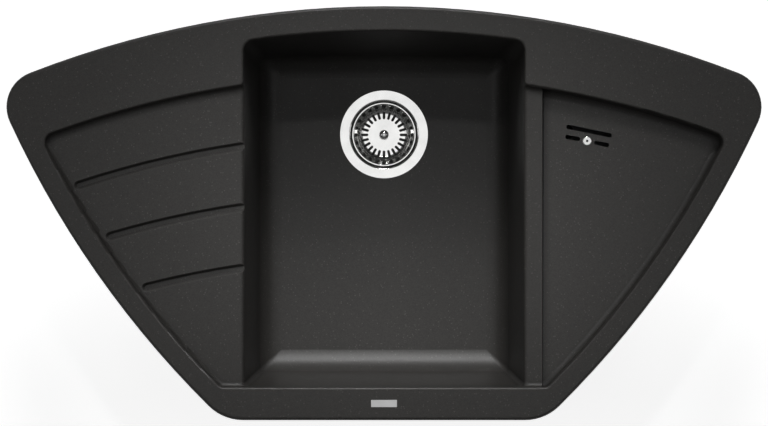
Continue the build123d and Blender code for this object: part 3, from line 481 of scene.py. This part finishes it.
@dataclass(frozen=True)
class SteelFinish:
    """Pressed or turned metal with fine rings round an upright axis."""

    name: str
    colour: Colour
    centre: Point
    roughness: tuple[float, float] = (0.12, 0.28)
    fineness: float = 1400.0
    relief: float = 0.00002
    edge: float = 0.0005
    unshaded_polished_above: float | None = None     # height in metres under which the colour is darkened as painted shade and the metal left rougher, or None for polished and unshaded all over
    worn_highlight_gain: float = 1.12
    worn_highlight_share: float = 0.6
    smear_gain: float = 0.86
    smear_share: float = 0.5
    painted_shade_gain: float = 0.09
    dull_rough: float = 0.4
    shade_and_dull_fade: float = 0.0006
    relief_strength: float = 0.4

    def build(self) -> bpy.types.Material:
        """Makes the metal: lighter on its edges (rubbed wear and painted highlight), rougher and
        darkened as painted shade below a height where it isn't polished.

        Returns:
            The material.
        """
        material, graph, place = start_material(self.name)
        marks = TURNED_MARKS.place(graph, {"Vector": place, "Centre": self.centre,
                                           "Fineness": self.fineness})
        edges = EDGE_LIGHT.place(graph, {"Radius": self.edge})
        # edges lightened: partly rubbed wear, partly a painted highlight
        worn_highlight = tuple(min(1.0, c * self.worn_highlight_gain) for c in self.colour)
        soft = tuple(c * self.smear_gain for c in self.colour)
        colour = graph.mixed(graph.math("MULTIPLY", marks.outputs["Smear"], self.smear_share),
                             self.colour, soft)
        colour = graph.mixed(graph.math("MULTIPLY", edges.outputs["Edge"], self.worn_highlight_share),
                             colour, worn_highlight)
        rough = graph.scaled(marks.outputs["Smear"], *self.roughness)
        if self.unshaded_polished_above is not None:
            dull = SHADED_UNPOLISHED_HOLLOW.place(graph, {
                "Vector": place, "Top": self.unshaded_polished_above,
                "Fade": self.shade_and_dull_fade}).outputs["ShadedDull"]
            # painted shade: below the height the colour drops to a dark copy; the added roughness
            # stands for unpolished metal
            colour = graph.mixed(dull, colour, tuple(c * self.painted_shade_gain for c in self.colour))
            rough = graph.math("ADD", rough, graph.math("MULTIPLY", dull, self.dull_rough))
        end_material(graph, {
            "Base Color": colour, "Metallic": 1.0, "Roughness": rough,
            "Normal": graph.bump(marks.outputs["Height"], self.relief_strength, self.relief)})
        return material


@dataclass(frozen=True)
class MouldedFinish:
    """Moulded plastic, rubber or foam."""

    name: str
    colour: Colour
    drifted: Colour
    roughness: tuple[float, float] = (0.42, 0.6)
    fineness: float = 1500.0
    relief: float = 0.00005
    dusty: float = 0.35
    dust: Colour = (0.32, 0.31, 0.29)
    dust_reach: float = 0.006
    edge: float = 0.0006
    rubbed_highlight_gain: float = 1.7
    rubbed_highlight_lift: float = 0.02
    rubbed_highlight_share: float = 0.3
    relief_strength: float = 0.5

    def build(self) -> bpy.types.Material:
        """Makes the moulding's skin, with a dry film where a cloth misses it and edges lightened as
        rubbed wear and painted highlight.

        Returns:
            The material.
        """
        material, graph, place = start_material(self.name)
        skin = MOULDED_SKIN.place(graph, {"Vector": place, "Fineness": self.fineness})
        dust = DUST_AND_CORNER_SHADE.place(graph, {"Vector": place, "Reach": self.dust_reach})
        edges = EDGE_LIGHT.place(graph, {"Radius": self.edge})
        colour = graph.mixed(skin.outputs["Drift"], self.colour, self.drifted)
        film = graph.math("MULTIPLY", dust.outputs["Dust"], self.dusty)
        colour = graph.mixed(film, colour, self.dust)
        # edges lightened: partly rubbed wear, partly a painted highlight
        rubbed_highlight = tuple(min(1.0, c * self.rubbed_highlight_gain + self.rubbed_highlight_lift) for c in self.drifted)
        colour = graph.mixed(graph.math("MULTIPLY", edges.outputs["Edge"], self.rubbed_highlight_share),
                             colour, rubbed_highlight)
        end_material(graph, {
            "Base Color": colour, "Roughness": graph.scaled(skin.outputs["Drift"], *self.roughness),
            "Normal": graph.bump(skin.outputs["Height"], self.relief_strength, self.relief)})
        return material


@dataclass(frozen=True)
class ZincFinish:
    """Zinc on steel, or cast zinc: patchy bloom over a metal."""

    name: str
    bright: Colour
    bloomed: Colour
    roughness: tuple[float, float] = (0.28, 0.5)
    relief: float = 0.00004
    edge: float = 0.0005
    rubbed_highlight_gain: float = 1.15
    rubbed_highlight_share: float = 0.5
    relief_strength: float = 0.35

    def build(self) -> bpy.types.Material:
        """Makes the zinc, brighter on its edges as rubbed wear and painted highlight.

        Returns:
            The material.
        """
        material, graph, place = start_material(self.name)
        zinc = ZINC_BLOOM.place(graph, {"Vector": place})
        edges = EDGE_LIGHT.place(graph, {"Radius": self.edge})
        colour = graph.mixed(zinc.outputs["Bloom"], self.bright, self.bloomed)
        # edges lightened: partly rubbed wear, partly a painted highlight
        rubbed_highlight = tuple(min(1.0, c * self.rubbed_highlight_gain) for c in self.bright)
        colour = graph.mixed(graph.math("MULTIPLY", edges.outputs["Edge"], self.rubbed_highlight_share),
                             colour, rubbed_highlight)
        end_material(graph, {
            "Base Color": colour, "Metallic": 1.0,
            "Roughness": graph.scaled(zinc.outputs["Bloom"], *self.roughness),
            "Normal": graph.bump(zinc.outputs["Height"], self.relief_strength, self.relief)})
        return material


class Finish(Enum):
    """Every finish on the sink."""

    STONE = StoneFinish("anthracite_composite", dark=(0.0215, 0.0205, 0.0190),
                        light=(0.0410, 0.0385, 0.0358), fleck=(0.105, 0.100, 0.094))
    STRAINER = SteelFinish("pressed_stainless", (0.78, 0.78, 0.77), (*WASTE_AXIS, 0.0),
                           roughness=(0.09, 0.17), relief=0.00001)
    # the cup under the basket is darkened as painted shade and left rougher, below the given height
    FLANGE = SteelFinish("pressed_flange", (0.78, 0.78, 0.77), (*WASTE_AXIS, 0.0),
                         roughness=(0.09, 0.17), relief=0.00001, unshaded_polished_above=-0.1836)
    KNOB = SteelFinish("polished_knob", (0.84, 0.84, 0.84), (*WASTE_AXIS, 0.0),
                       roughness=(0.06, 0.12), fineness=2400.0, relief=0.000005)
    BADGE = SteelFinish("brushed_plate", (0.72, 0.72, 0.72), PLATE_GRAIN_CENTRE,
                        roughness=(0.26, 0.34), fineness=700.0, relief=0.00001)
    # below the given height the screw is darkened as painted shade and left rougher
    OVERFLOW_SCREW = SteelFinish("overflow_screw_steel", (0.80, 0.80, 0.79), OVERFLOW_CENTRE,
                                 roughness=(0.12, 0.2), fineness=1900.0, relief=0.00001,
                                 unshaded_polished_above=-0.0108)
    BRASS = SteelFinish("turned_brass", (0.66, 0.47, 0.20), (*WASTE_AXIS, 0.0),
                        roughness=(0.2, 0.34))
    RUBBER = MouldedFinish("black_rubber", (0.012, 0.012, 0.012), (0.022, 0.022, 0.022),
                           roughness=(0.6, 0.78), fineness=900.0)
    FOAM = MouldedFinish("grey_foam", (0.07, 0.07, 0.072), (0.13, 0.13, 0.13),
                         roughness=(0.8, 0.95), fineness=1300.0, relief=0.0003)
    PLASTIC = MouldedFinish("black_plastic", (0.014, 0.014, 0.015), (0.026, 0.026, 0.027))
    HOSE = MouldedFinish("grey_hose", (0.26, 0.26, 0.25), (0.33, 0.33, 0.32),
                         roughness=(0.38, 0.5), fineness=1200.0, relief=0.00003, dusty=0.5)
    PLATE = ZincFinish("zinc_plate", (0.62, 0.63, 0.64), (0.47, 0.48, 0.50))
    SCREW = ZincFinish("zinc_screw", (0.66, 0.66, 0.67), (0.50, 0.51, 0.52),
                       roughness=(0.22, 0.4))
    CAST = ZincFinish("cast_claw", (0.48, 0.48, 0.48), (0.36, 0.36, 0.37),
                      roughness=(0.42, 0.62), relief=0.0001)


class Workshop:
    """Makes each material once and puts it on pieces."""

    def __init__(self) -> None:
        """Starts with no materials made."""
        self.made: dict[Finish, bpy.types.Material] = {}

    def material(self, finish: Finish) -> bpy.types.Material:
        """Makes the finish's material on the first call.

        Args:
            finish: Which finish.

        Returns:
            Its material.
        """
        if finish not in self.made:
            self.made[finish] = finish.value.build()
        return self.made[finish]

    def dress(self, piece: bpy.types.Object, finish: Finish) -> None:
        """Gives every material slot of a piece one finish.

        Args:
            piece: A CAD node's object, or a piece made here.
            finish: What it is finished in.
        """
        if not piece.material_slots:
            piece.data.materials.append(None)
        for slot in piece.material_slots:
            slot.material = self.material(finish)
        log.info("%s: %s", piece.name, self.made[finish].name)

    def stand_in(self, piece: bpy.types.Object, finish: Finish, node: str, slot: str,
                 body: str) -> None:
        """Dresses a piece made here and lets it stand for a CAD node.

        Args:
            piece: The piece.
            finish: What it is finished in.
            node: The node that it stands for.
            slot: The record's name for its material; not used.
            body: The body that it rides on.
        """
        self.dress(piece, finish)
        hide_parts(node)
        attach(piece, body)

    def dress_nodes(self, finish: Finish, *names: str) -> None:
        """Gives CAD nodes one finish.

        Args:
            finish: What they are finished in.
            *names: The nodes' names.
        """
        for name in names:
            self.dress(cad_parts[name], finish)


def mesh_piece(name: str, points: Sequence[Point], faces: Sequence[Sequence[int]],
               smooth: bool = True) -> bpy.types.Object:
    """Makes an object from points and faces.

    Args:
        name: The object's name.
        points: Its vertices, in metres.
        faces: The vertices' numbers round each face.
        smooth: Whether its faces are shaded as one surface.

    Returns:
        The object, in the scene.
    """
    mesh = bpy.data.meshes.new(name)
    mesh.from_pydata(points, [], faces)
    mesh.shade_smooth() if smooth else mesh.shade_flat()
    piece = bpy.data.objects.new(name, mesh)
    bpy.context.scene.collection.objects.link(piece)
    return piece


def rings_to_faces(rings: int, around: int) -> list[tuple[int, ...]]:
    """Joins rings of points into quads, the last ring to the first one.

    Args:
        rings: How many rings there are.
        around: How many points each ring has.

    Returns:
        The faces, as numbers of points.
    """
    faces = []
    for ring in range(rings):
        after = (ring + 1) % rings
        for step in range(around):
            turn = (step + 1) % around
            faces.append((ring * around + step, ring * around + turn,
                          after * around + turn, after * around + step))
    return faces


SEAM_GAP = 1e-6      # points nearer than this, in metres, are one
FLAT_ANGLE = 0.2     # faces that meet at less than this, in degrees, are one flat


def node_skin(node: str) -> bmesh.types.BMesh:
    """Takes a copy of a CAD node's mesh, with its seams closed and its flats made whole.

    Args:
        node: The node's name.

    Returns:
        The copy, ready to be shaped.
    """
    skin = bmesh.new()
    skin.from_mesh(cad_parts[node].data)
    bmesh.ops.remove_doubles(skin, verts=skin.verts, dist=SEAM_GAP)
    bmesh.ops.dissolve_limit(skin, angle_limit=math.radians(FLAT_ANGLE), verts=skin.verts,
                             edges=skin.edges)
    return skin


def skin_piece(name: str, skin: bmesh.types.BMesh, crease: float = 35.0) -> bpy.types.Object:
    """Makes an object of a shaped copy.

    Args:
        name: The object's name.
        skin: The shaped copy, which is used up.
        crease: Faces that meet at more than this angle, in degrees, keep a sharp edge.

    Returns:
        The object, in the scene.
    """
    mesh = bpy.data.meshes.new(name)
    skin.to_mesh(mesh)
    skin.free()
    stale = mesh.attributes.get("custom_normal")
    if stale is not None:
        mesh.attributes.remove(stale)
    mesh.shade_smooth()
    mesh.set_sharp_from_angle(angle=math.radians(crease))
    piece = bpy.data.objects.new(name, mesh)
    bpy.context.scene.collection.objects.link(piece)
    return piece


@dataclass(frozen=True)
class Thread:
    """A rolled or moulded screw thread round an upright axis.

    The ridge reaches crest_half to each side at its top and root_half at its foot, in pitches. Its
    foot stands a little inside the core, at root_share of the core's radius.
    """

    pitch: float
    major: float
    minor: float
    hand: int = 1
    steps: int = 18
    crest_half: float = 0.07
    root_half: float = 0.44
    root_share: float = 0.985
    slack: float = 1e-5

    def cut(self, skin: bmesh.types.BMesh, centre: tuple[float, float], low: float,
            high: float) -> None:
        """Turns a plain shank down to the thread's core and winds the ridge round it.

        Args:
            skin: The copy that has the shank.
            centre: X and Y of the axis.
            low: Where the thread begins.
            high: Where it ends.
        """
        axis = Vector(centre)
        for point in skin.verts:
            arm = point.co.xy - axis
            within = low - self.slack <= point.co.z <= high + self.slack
            if within and self.minor < arm.length < self.major + 2 * self.slack:
                point.co.xy = axis + arm * (self.minor / arm.length)
        root = self.minor * self.root_share
        start, rings = low + self.pitch / 2, []
        last = int((high - low - self.pitch) / self.pitch * self.steps)
        for step in range(last + 1):
            turn = self.hand * 2 * math.pi * step / self.steps
            fade = min(1.0, 2 * step / self.steps, 2 * (last - step) / self.steps)
            crest = self.minor + (self.major - self.minor) * fade
            section = ((root, -self.root_half), (crest, -self.crest_half),
                       (crest, self.crest_half), (root, self.root_half))
            rings.append([skin.verts.new((axis.x + reach * math.cos(turn),
                                          axis.y + reach * math.sin(turn),
                                          start + self.pitch * (step / self.steps + rise)))
                          for reach, rise in section])
        sides = len(section)
        walls = [skin.faces.new((first[side], first[(side + 1) % sides],
                                 second[(side + 1) % sides], second[side]))
                 for first, second in zip(rings, rings[1:]) for side in range(sides)]
        walls += [skin.faces.new(rings[0]), skin.faces.new(rings[-1])]
        bmesh.ops.recalc_face_normals(skin, faces=walls)


@dataclass
class Basin:
    """The moulding with its foam seal and the bare plate on its front rim."""

    workshop: Workshop
    foam_round: float = 0.0009
    foam_steps: int = 4
    foam_corner: float = 1.0     # an edge that turns more than this, in radians, is swollen

    def foam_strip(self) -> bpy.types.Object:
        """Makes the foam seal, whose long edges are swollen round.

        Returns:
            The seal.
        """
        skin = node_skin("rim_seal")
        sharp = [edge for edge in skin.edges
                 if len(edge.link_faces) == 2 and edge.calc_face_angle() > self.foam_corner]
        bmesh.ops.bevel(skin, geom=sharp, offset=self.foam_round, segments=self.foam_steps,
                        profile=0.5, affect="EDGES", clamp_overlap=True)
        return skin_piece("foam_strip", skin)

    def build(self) -> None:
        """Dresses the moulding and what is set in it."""
        self.workshop.dress_nodes(Finish.STONE, "sink_body")
        self.workshop.stand_in(self.foam_strip(), Finish.FOAM, "rim_seal", "grey_foam",
                               Body.SINK.value)
        self.workshop.dress_nodes(Finish.BADGE, "badge_plate")


@dataclass
class StrainerWaste:
    """The strainer in the bowl's floor and the pot under it."""

    workshop: Workshop
    pressings: tuple[str, ...] = ("strainer_basket", "stem_clip", "waste_screw")
    rubbers: tuple[str, ...] = ("flange_seal", "body_seal", "basket_seal")
    knob_radius: float = 0.006
    knob_side_low: float = -0.1916
    knob_dome: float = 0.0014
    knob_rings: int = 4
    knob_ring_share: float = 0.12
    tail: Thread = Thread(0.002309, 0.0239, 0.0226)
    tail_low: float = -0.285
    tail_high: float = -0.254

    def knob(self) -> bpy.types.Object:
        """Makes the basket's knob, its flat top pressed to a low dome.

        Returns:
            The knob.
        """
        skin = node_skin("basket_knob")
        top = max(skin.faces, key=lambda face: face.calc_center_median().z + face.normal.z)
        for _ in range(self.knob_rings):
            bmesh.ops.inset_individual(skin, faces=[top],
                                       thickness=self.knob_radius * self.knob_ring_share)
        bmesh.ops.poke(skin, faces=[top])
        for point in skin.verts:
            if point.co.z > self.knob_side_low:
                reach = (point.co.xy - Vector(WASTE_AXIS)).length / self.knob_radius
                point.co.z -= self.knob_dome * reach ** 2
        return skin_piece("domed_knob", skin)

    def pot(self) -> bpy.types.Object:
        """Makes the waste's body with the thread on its tail.

        Returns:
            The body.
        """
        skin = node_skin("waste_body")
        self.tail.cut(skin, WASTE_AXIS, self.tail_low, self.tail_high)
        return skin_piece("threaded_pot", skin)

    def build(self) -> None:
        """Dresses the strainer's and the waste's pieces."""
        self.workshop.dress_nodes(Finish.STRAINER, *self.pressings)
        self.workshop.dress_nodes(Finish.FLANGE, "strainer_flange")
        self.workshop.stand_in(self.knob(), Finish.KNOB, "basket_knob", "polished_knob",
                               Body.STEM.value)
        self.workshop.dress_nodes(Finish.RUBBER, *self.rubbers)
        self.workshop.stand_in(self.pot(), Finish.PLASTIC, "waste_body", "black_plastic",
                               Body.SINK.value)
        self.workshop.dress_nodes(Finish.BRASS, "waste_insert")


@dataclass
class OverflowRun:
    """The overflow behind the tray's slots and its ribbed hose to the waste."""

    workshop: Workshop
    start: Point = (0.2272, 0.1015, -0.077)
    end: Point = (0.075, 0.1015, -0.222)
    bend: float = 0.070
    cuff: float = 0.026
    cuff_radius: float = 0.012
    crest: float = 0.013
    root: float = 0.0114
    bore: float = 0.0095
    pitch: float = 0.004
    fullness: float = 0.6        # under 1 makes the ribs fuller than a sine
    cuff_bevel: float = 0.001
    around: int = 40
    steps: int = 10
    bore_stride: int = 4         # the bore takes one ring for this many outside

    def fall(self) -> float:
        """Returns how far the hose drops straight down before its bend."""
        return self.start[2] - self.end[2] - self.bend

    def line(self, run: float) -> tuple[Vector, Vector]:
        """Finds the hose's middle line.

        Args:
            run: The length of hose before the place, in metres.

        Returns:
            The place and the direction there.
        """
        drop = self.fall()
        arc = math.pi / 2 * self.bend
        x, y, z = self.start
        if run < drop:
            return Vector((x, y, z - run)), Vector((0.0, 0.0, -1.0))
        if run < drop + arc:
            angle = (run - drop) / self.bend
            place = Vector((x - self.bend * (1 - math.cos(angle)), y,
                            z - drop - self.bend * math.sin(angle)))
            return place, Vector((-math.sin(angle), 0.0, -math.cos(angle)))
        place = Vector((x - self.bend - (run - drop - arc), y, self.end[2]))
        return place, Vector((-1.0, 0.0, 0.0))

    def length(self) -> float:
        """Returns the hose's length from spigot to spigot."""
        level = self.start[0] - self.bend - self.end[0]
        return self.fall() + math.pi / 2 * self.bend + level

    def skin(self) -> list[tuple[float, float]]:
        """Works out the outside, with rounded ribs between plain cuffs.

        Returns:
            The run and the radius at each ring.
        """
        length = self.length()
        ribs = int((length - 2 * self.cuff) / self.pitch)
        first = (length - ribs * self.pitch) / 2
        middle, swing = (self.crest + self.root) / 2, (self.crest - self.root) / 2
        profile = [(0.0, self.cuff_radius), (first - self.cuff_bevel, self.cuff_radius)]
        for step in range(ribs * self.steps + 1):
            wave = -math.cos(2 * math.pi * step / self.steps)
            full = math.copysign(abs(wave) ** self.fullness, wave)
            profile.append((first + step * self.pitch / self.steps, middle + swing * full))
        profile += [(length - first + self.cuff_bevel, self.cuff_radius),
                    (length, self.cuff_radius)]
        return profile

    def hose(self) -> bpy.types.Object:
        """Makes the hose: its ribbed outside and its bore in one closed skin.

        Returns:
            The hose.
        """
        outside = self.skin()
        inside = [(run, self.bore) for run, _ in outside[::-self.bore_stride]]
        profile = outside + inside + [(0.0, self.bore)]
        points = []
        for run, radius in profile:
            place, direction = self.line(run)
            side = Vector((0.0, 1.0, 0.0))
            up = direction.cross(side)
            for step in range(self.around):
                turn = 2 * math.pi * step / self.around
                points.append(place + (side * math.cos(turn) + up * math.sin(turn)) * radius)
        return mesh_piece("ribbed_hose", points, rings_to_faces(len(profile), self.around))

    def build(self) -> None:
        """Dresses the overflow and makes its hose."""
        self.workshop.dress_nodes(Finish.OVERFLOW_SCREW, "overflow_screw")
        self.workshop.dress_nodes(Finish.RUBBER, "overflow_seal")
        self.workshop.dress_nodes(Finish.PLASTIC, "overflow_housing", "hose_nut_top",
                                  "hose_nut_bottom")
        self.workshop.dress_nodes(Finish.BRASS, "overflow_insert")
        hose = self.hose()
        self.workshop.stand_in(hose, Finish.HOSE, "overflow_hose", "grey_hose", Body.SINK.value)


@dataclass
class ClampSet:
    """Eight clamps under the rim: plates, their screws, and claws that climb."""

    workshop: Workshop
    count: int = 8
    thread: Thread = Thread(0.0008, 0.0025, 0.0021, -1)
    thread_low: float = -0.05535
    thread_high: float = -0.027

    def screw(self, number: int) -> bpy.types.Object:
        """Makes one clamp screw with its left-hand thread.

        Args:
            number: Which clamp it belongs to.

        Returns:
            The screw.
        """
        low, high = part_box(f"clamp_screw_{number}")
        skin = node_skin(f"clamp_screw_{number}")
        centre = ((low[0] + high[0]) / 2, (low[1] + high[1]) / 2)
        self.thread.cut(skin, centre, self.thread_low, self.thread_high)
        return skin_piece(f"threaded_screw_{number}", skin)

    def build(self) -> None:
        """Dresses the clamps."""
        self.workshop.dress_nodes(Finish.PLATE, "clamp_brackets")
        self.workshop.dress_nodes(Finish.SCREW, "bracket_screws")
        for number in range(1, self.count + 1):
            self.workshop.stand_in(self.screw(number), Finish.SCREW, f"clamp_screw_{number}",
                                   "zinc_screw", f"clamp_screw_{number}")
            self.workshop.dress_nodes(Finish.CAST, f"clamp_claw_{number}")


@dataclass
class Lamp:
    """A round soft lamp whose light fades away from the middle of its cone."""

    name: str
    lean: float
    turn: float
    power: float
    cone: float = 24.0
    squeeze: float = 1.0
    radius: float = 0.30
    distance: float = 3.2
    aim: Point = (0.0, -0.035, 0.0)

    def build(self) -> bpy.types.Object:
        """Makes the lamp: lean is from the zenith and turn from the rear, in degrees.

        Returns:
            The lamp.
        """
        data = bpy.data.lights.new(self.name, "SPOT")
        data.energy = self.power
        data.spot_size = math.radians(self.cone)
        data.spot_blend = 1.0
        data.shadow_soft_size = self.radius
        lean, turn = math.radians(self.lean), math.radians(self.turn)
        arm = Vector((math.sin(lean) * math.sin(turn), math.sin(lean) * math.cos(turn),
                      math.cos(lean)))
        lamp = bpy.data.objects.new(self.name, data)
        lamp.location = Vector(self.aim) + arm * self.distance
        lamp.rotation_euler = (-arm).to_track_quat("-Z", "Y").to_euler()
        lamp.scale = (1.0, self.squeeze, 1.0)
        bpy.context.scene.collection.objects.link(lamp)
        return lamp


@dataclass
class Studio:
    """Plain floor, soft light and the overhead camera."""

    floor_height: float = -0.2856
    camera_height: float = 4.0
    seen_width: float = 0.9448
    sensor: float = 36.0
    haze: float = 0.08
    zenith: float = 0.85
    lobe: float = 130.0
    floor_half: float = 30.0
    paper: float = 0.8
    camera_y: float = 0.0002
    lamps: list[Lamp] = field(default_factory=lambda: [
        Lamp("high_lamp", lean=30.0, turn=0.0, power=206.0, cone=13.8, squeeze=0.51, radius=0.20),
        Lamp("low_lamp", lean=55.0, turn=0.0, power=200.0, cone=14.6, squeeze=0.34, radius=0.12),
        Lamp("broad_lamp", lean=54.0, turn=0.0, power=146.0, cone=60.0, radius=0.50),
        Lamp("left_lamp", lean=42.0, turn=-90.0, power=20.0, cone=50.0, radius=0.40),
        Lamp("right_lamp", lean=42.0, turn=90.0, power=16.0, cone=50.0, radius=0.40),
        Lamp("top_lamp", lean=0.0, turn=0.0, power=27.0, cone=60.0, radius=1.40),
    ])

    @staticmethod
    def seen_rays(graph: Graph) -> tuple[Socket, bpy.types.Node]:
        """Finds the rays that show the background as it is.

        Args:
            graph: The graph of the world or of the floor's material.

        Returns:
            Their mask, and the node that tells the kinds of ray apart.
        """
        ray = graph.add("LightPath")
        shown = graph.math("MAXIMUM", ray.outputs["Is Camera Ray"],
                           ray.outputs["Is Transmission Ray"])
        return shown, ray

    def world(self) -> None:
        """Makes the surroundings: white to the camera, dim and brightest overhead to the sink."""
        world = bpy.data.worlds.new("studio")
        bpy.context.scene.world = world
        world.use_nodes = True
        graph = Graph(world.node_tree)
        up = graph.add("SeparateXYZ", {0: graph.add("TexCoord").outputs["Generated"]}).outputs[2]
        overhead = graph.math("POWER", graph.math("MAXIMUM", up, 0.0), self.lobe)
        bright = graph.math("ADD", graph.math("MULTIPLY", overhead, self.zenith), self.haze)
        shown, ray = self.seen_rays(graph)
        glossy = graph.math("MULTIPLY", ray.outputs["Is Glossy Ray"], bright)
        shown = graph.math("MAXIMUM", shown, glossy)
        soft = graph.math("MULTIPLY", ray.outputs["Is Diffuse Ray"], self.haze)
        strength = graph.math("MAXIMUM", shown, soft)
        back = graph.add("Background", {"Color": (1.0, 1.0, 1.0, 1.0), "Strength": strength})
        graph.add("OutputWorld", {"Surface": back.outputs[0]})

    def floor(self) -> None:
        """Makes the pale floor, which keeps a faint shadow."""
        half, z = self.floor_half, self.floor_height
        corners = [(-half, -half, z), (half, -half, z), (half, half, z), (-half, half, z)]
        floor = mesh_piece("studio_floor", corners, [(0, 1, 2, 3)], smooth=False)
        material = bpy.data.materials.new("pale_floor")
        material.use_nodes = True
        graph = Graph(material.node_tree)
        lift, ray = self.seen_rays(graph)
        lift = graph.math("MAXIMUM", lift, ray.outputs["Is Glossy Ray"])
        paper = graph.add("BsdfPrincipled", {
            "Base Color": (self.paper, self.paper, self.paper, 1.0), "Roughness": 0.9,
            "Specular IOR Level": 0.1, "Emission Color": (1.0, 1.0, 1.0, 1.0),
            "Emission Strength": graph.math("MULTIPLY", lift, self.paper)})
        graph.add("OutputMaterial", {"Surface": paper.outputs[0]})
        floor.data.materials.append(material)

    def camera(self) -> None:
        """Makes the camera, straight above the sink."""
        data = bpy.data.cameras.new("overhead_camera")
        data.sensor_width = self.sensor
        data.lens = self.sensor * self.camera_height / self.seen_width
        data.clip_end = 100.0
        camera = bpy.data.objects.new("overhead_camera", data)
        camera.location = (0.0, self.camera_y, RIM_TOP + self.camera_height)
        bpy.context.scene.collection.objects.link(camera)
        bpy.context.scene.camera = camera

    def build(self) -> None:
        """Sets the stage."""
        self.world()
        self.floor()
        for lamp in self.lamps:
            lamp.build()
        self.camera()
        bpy.context.scene.view_settings.view_transform = "Standard"


def main() -> None:
    """Builds the camera and stage, then each sub-assembly, and logs each one as done."""
    logging.basicConfig(level=logging.INFO, format="%(name)s: %(message)s")
    Studio().build()
    workshop = Workshop()
    for part in (Basin(workshop), StrainerWaste(workshop), OverflowRun(workshop),
                 ClampSet(workshop)):
        part.build()
        log.info("%s done", type(part).__name__)
    bpy.context.view_layer.update()


if __name__ == "__main__":
    main()
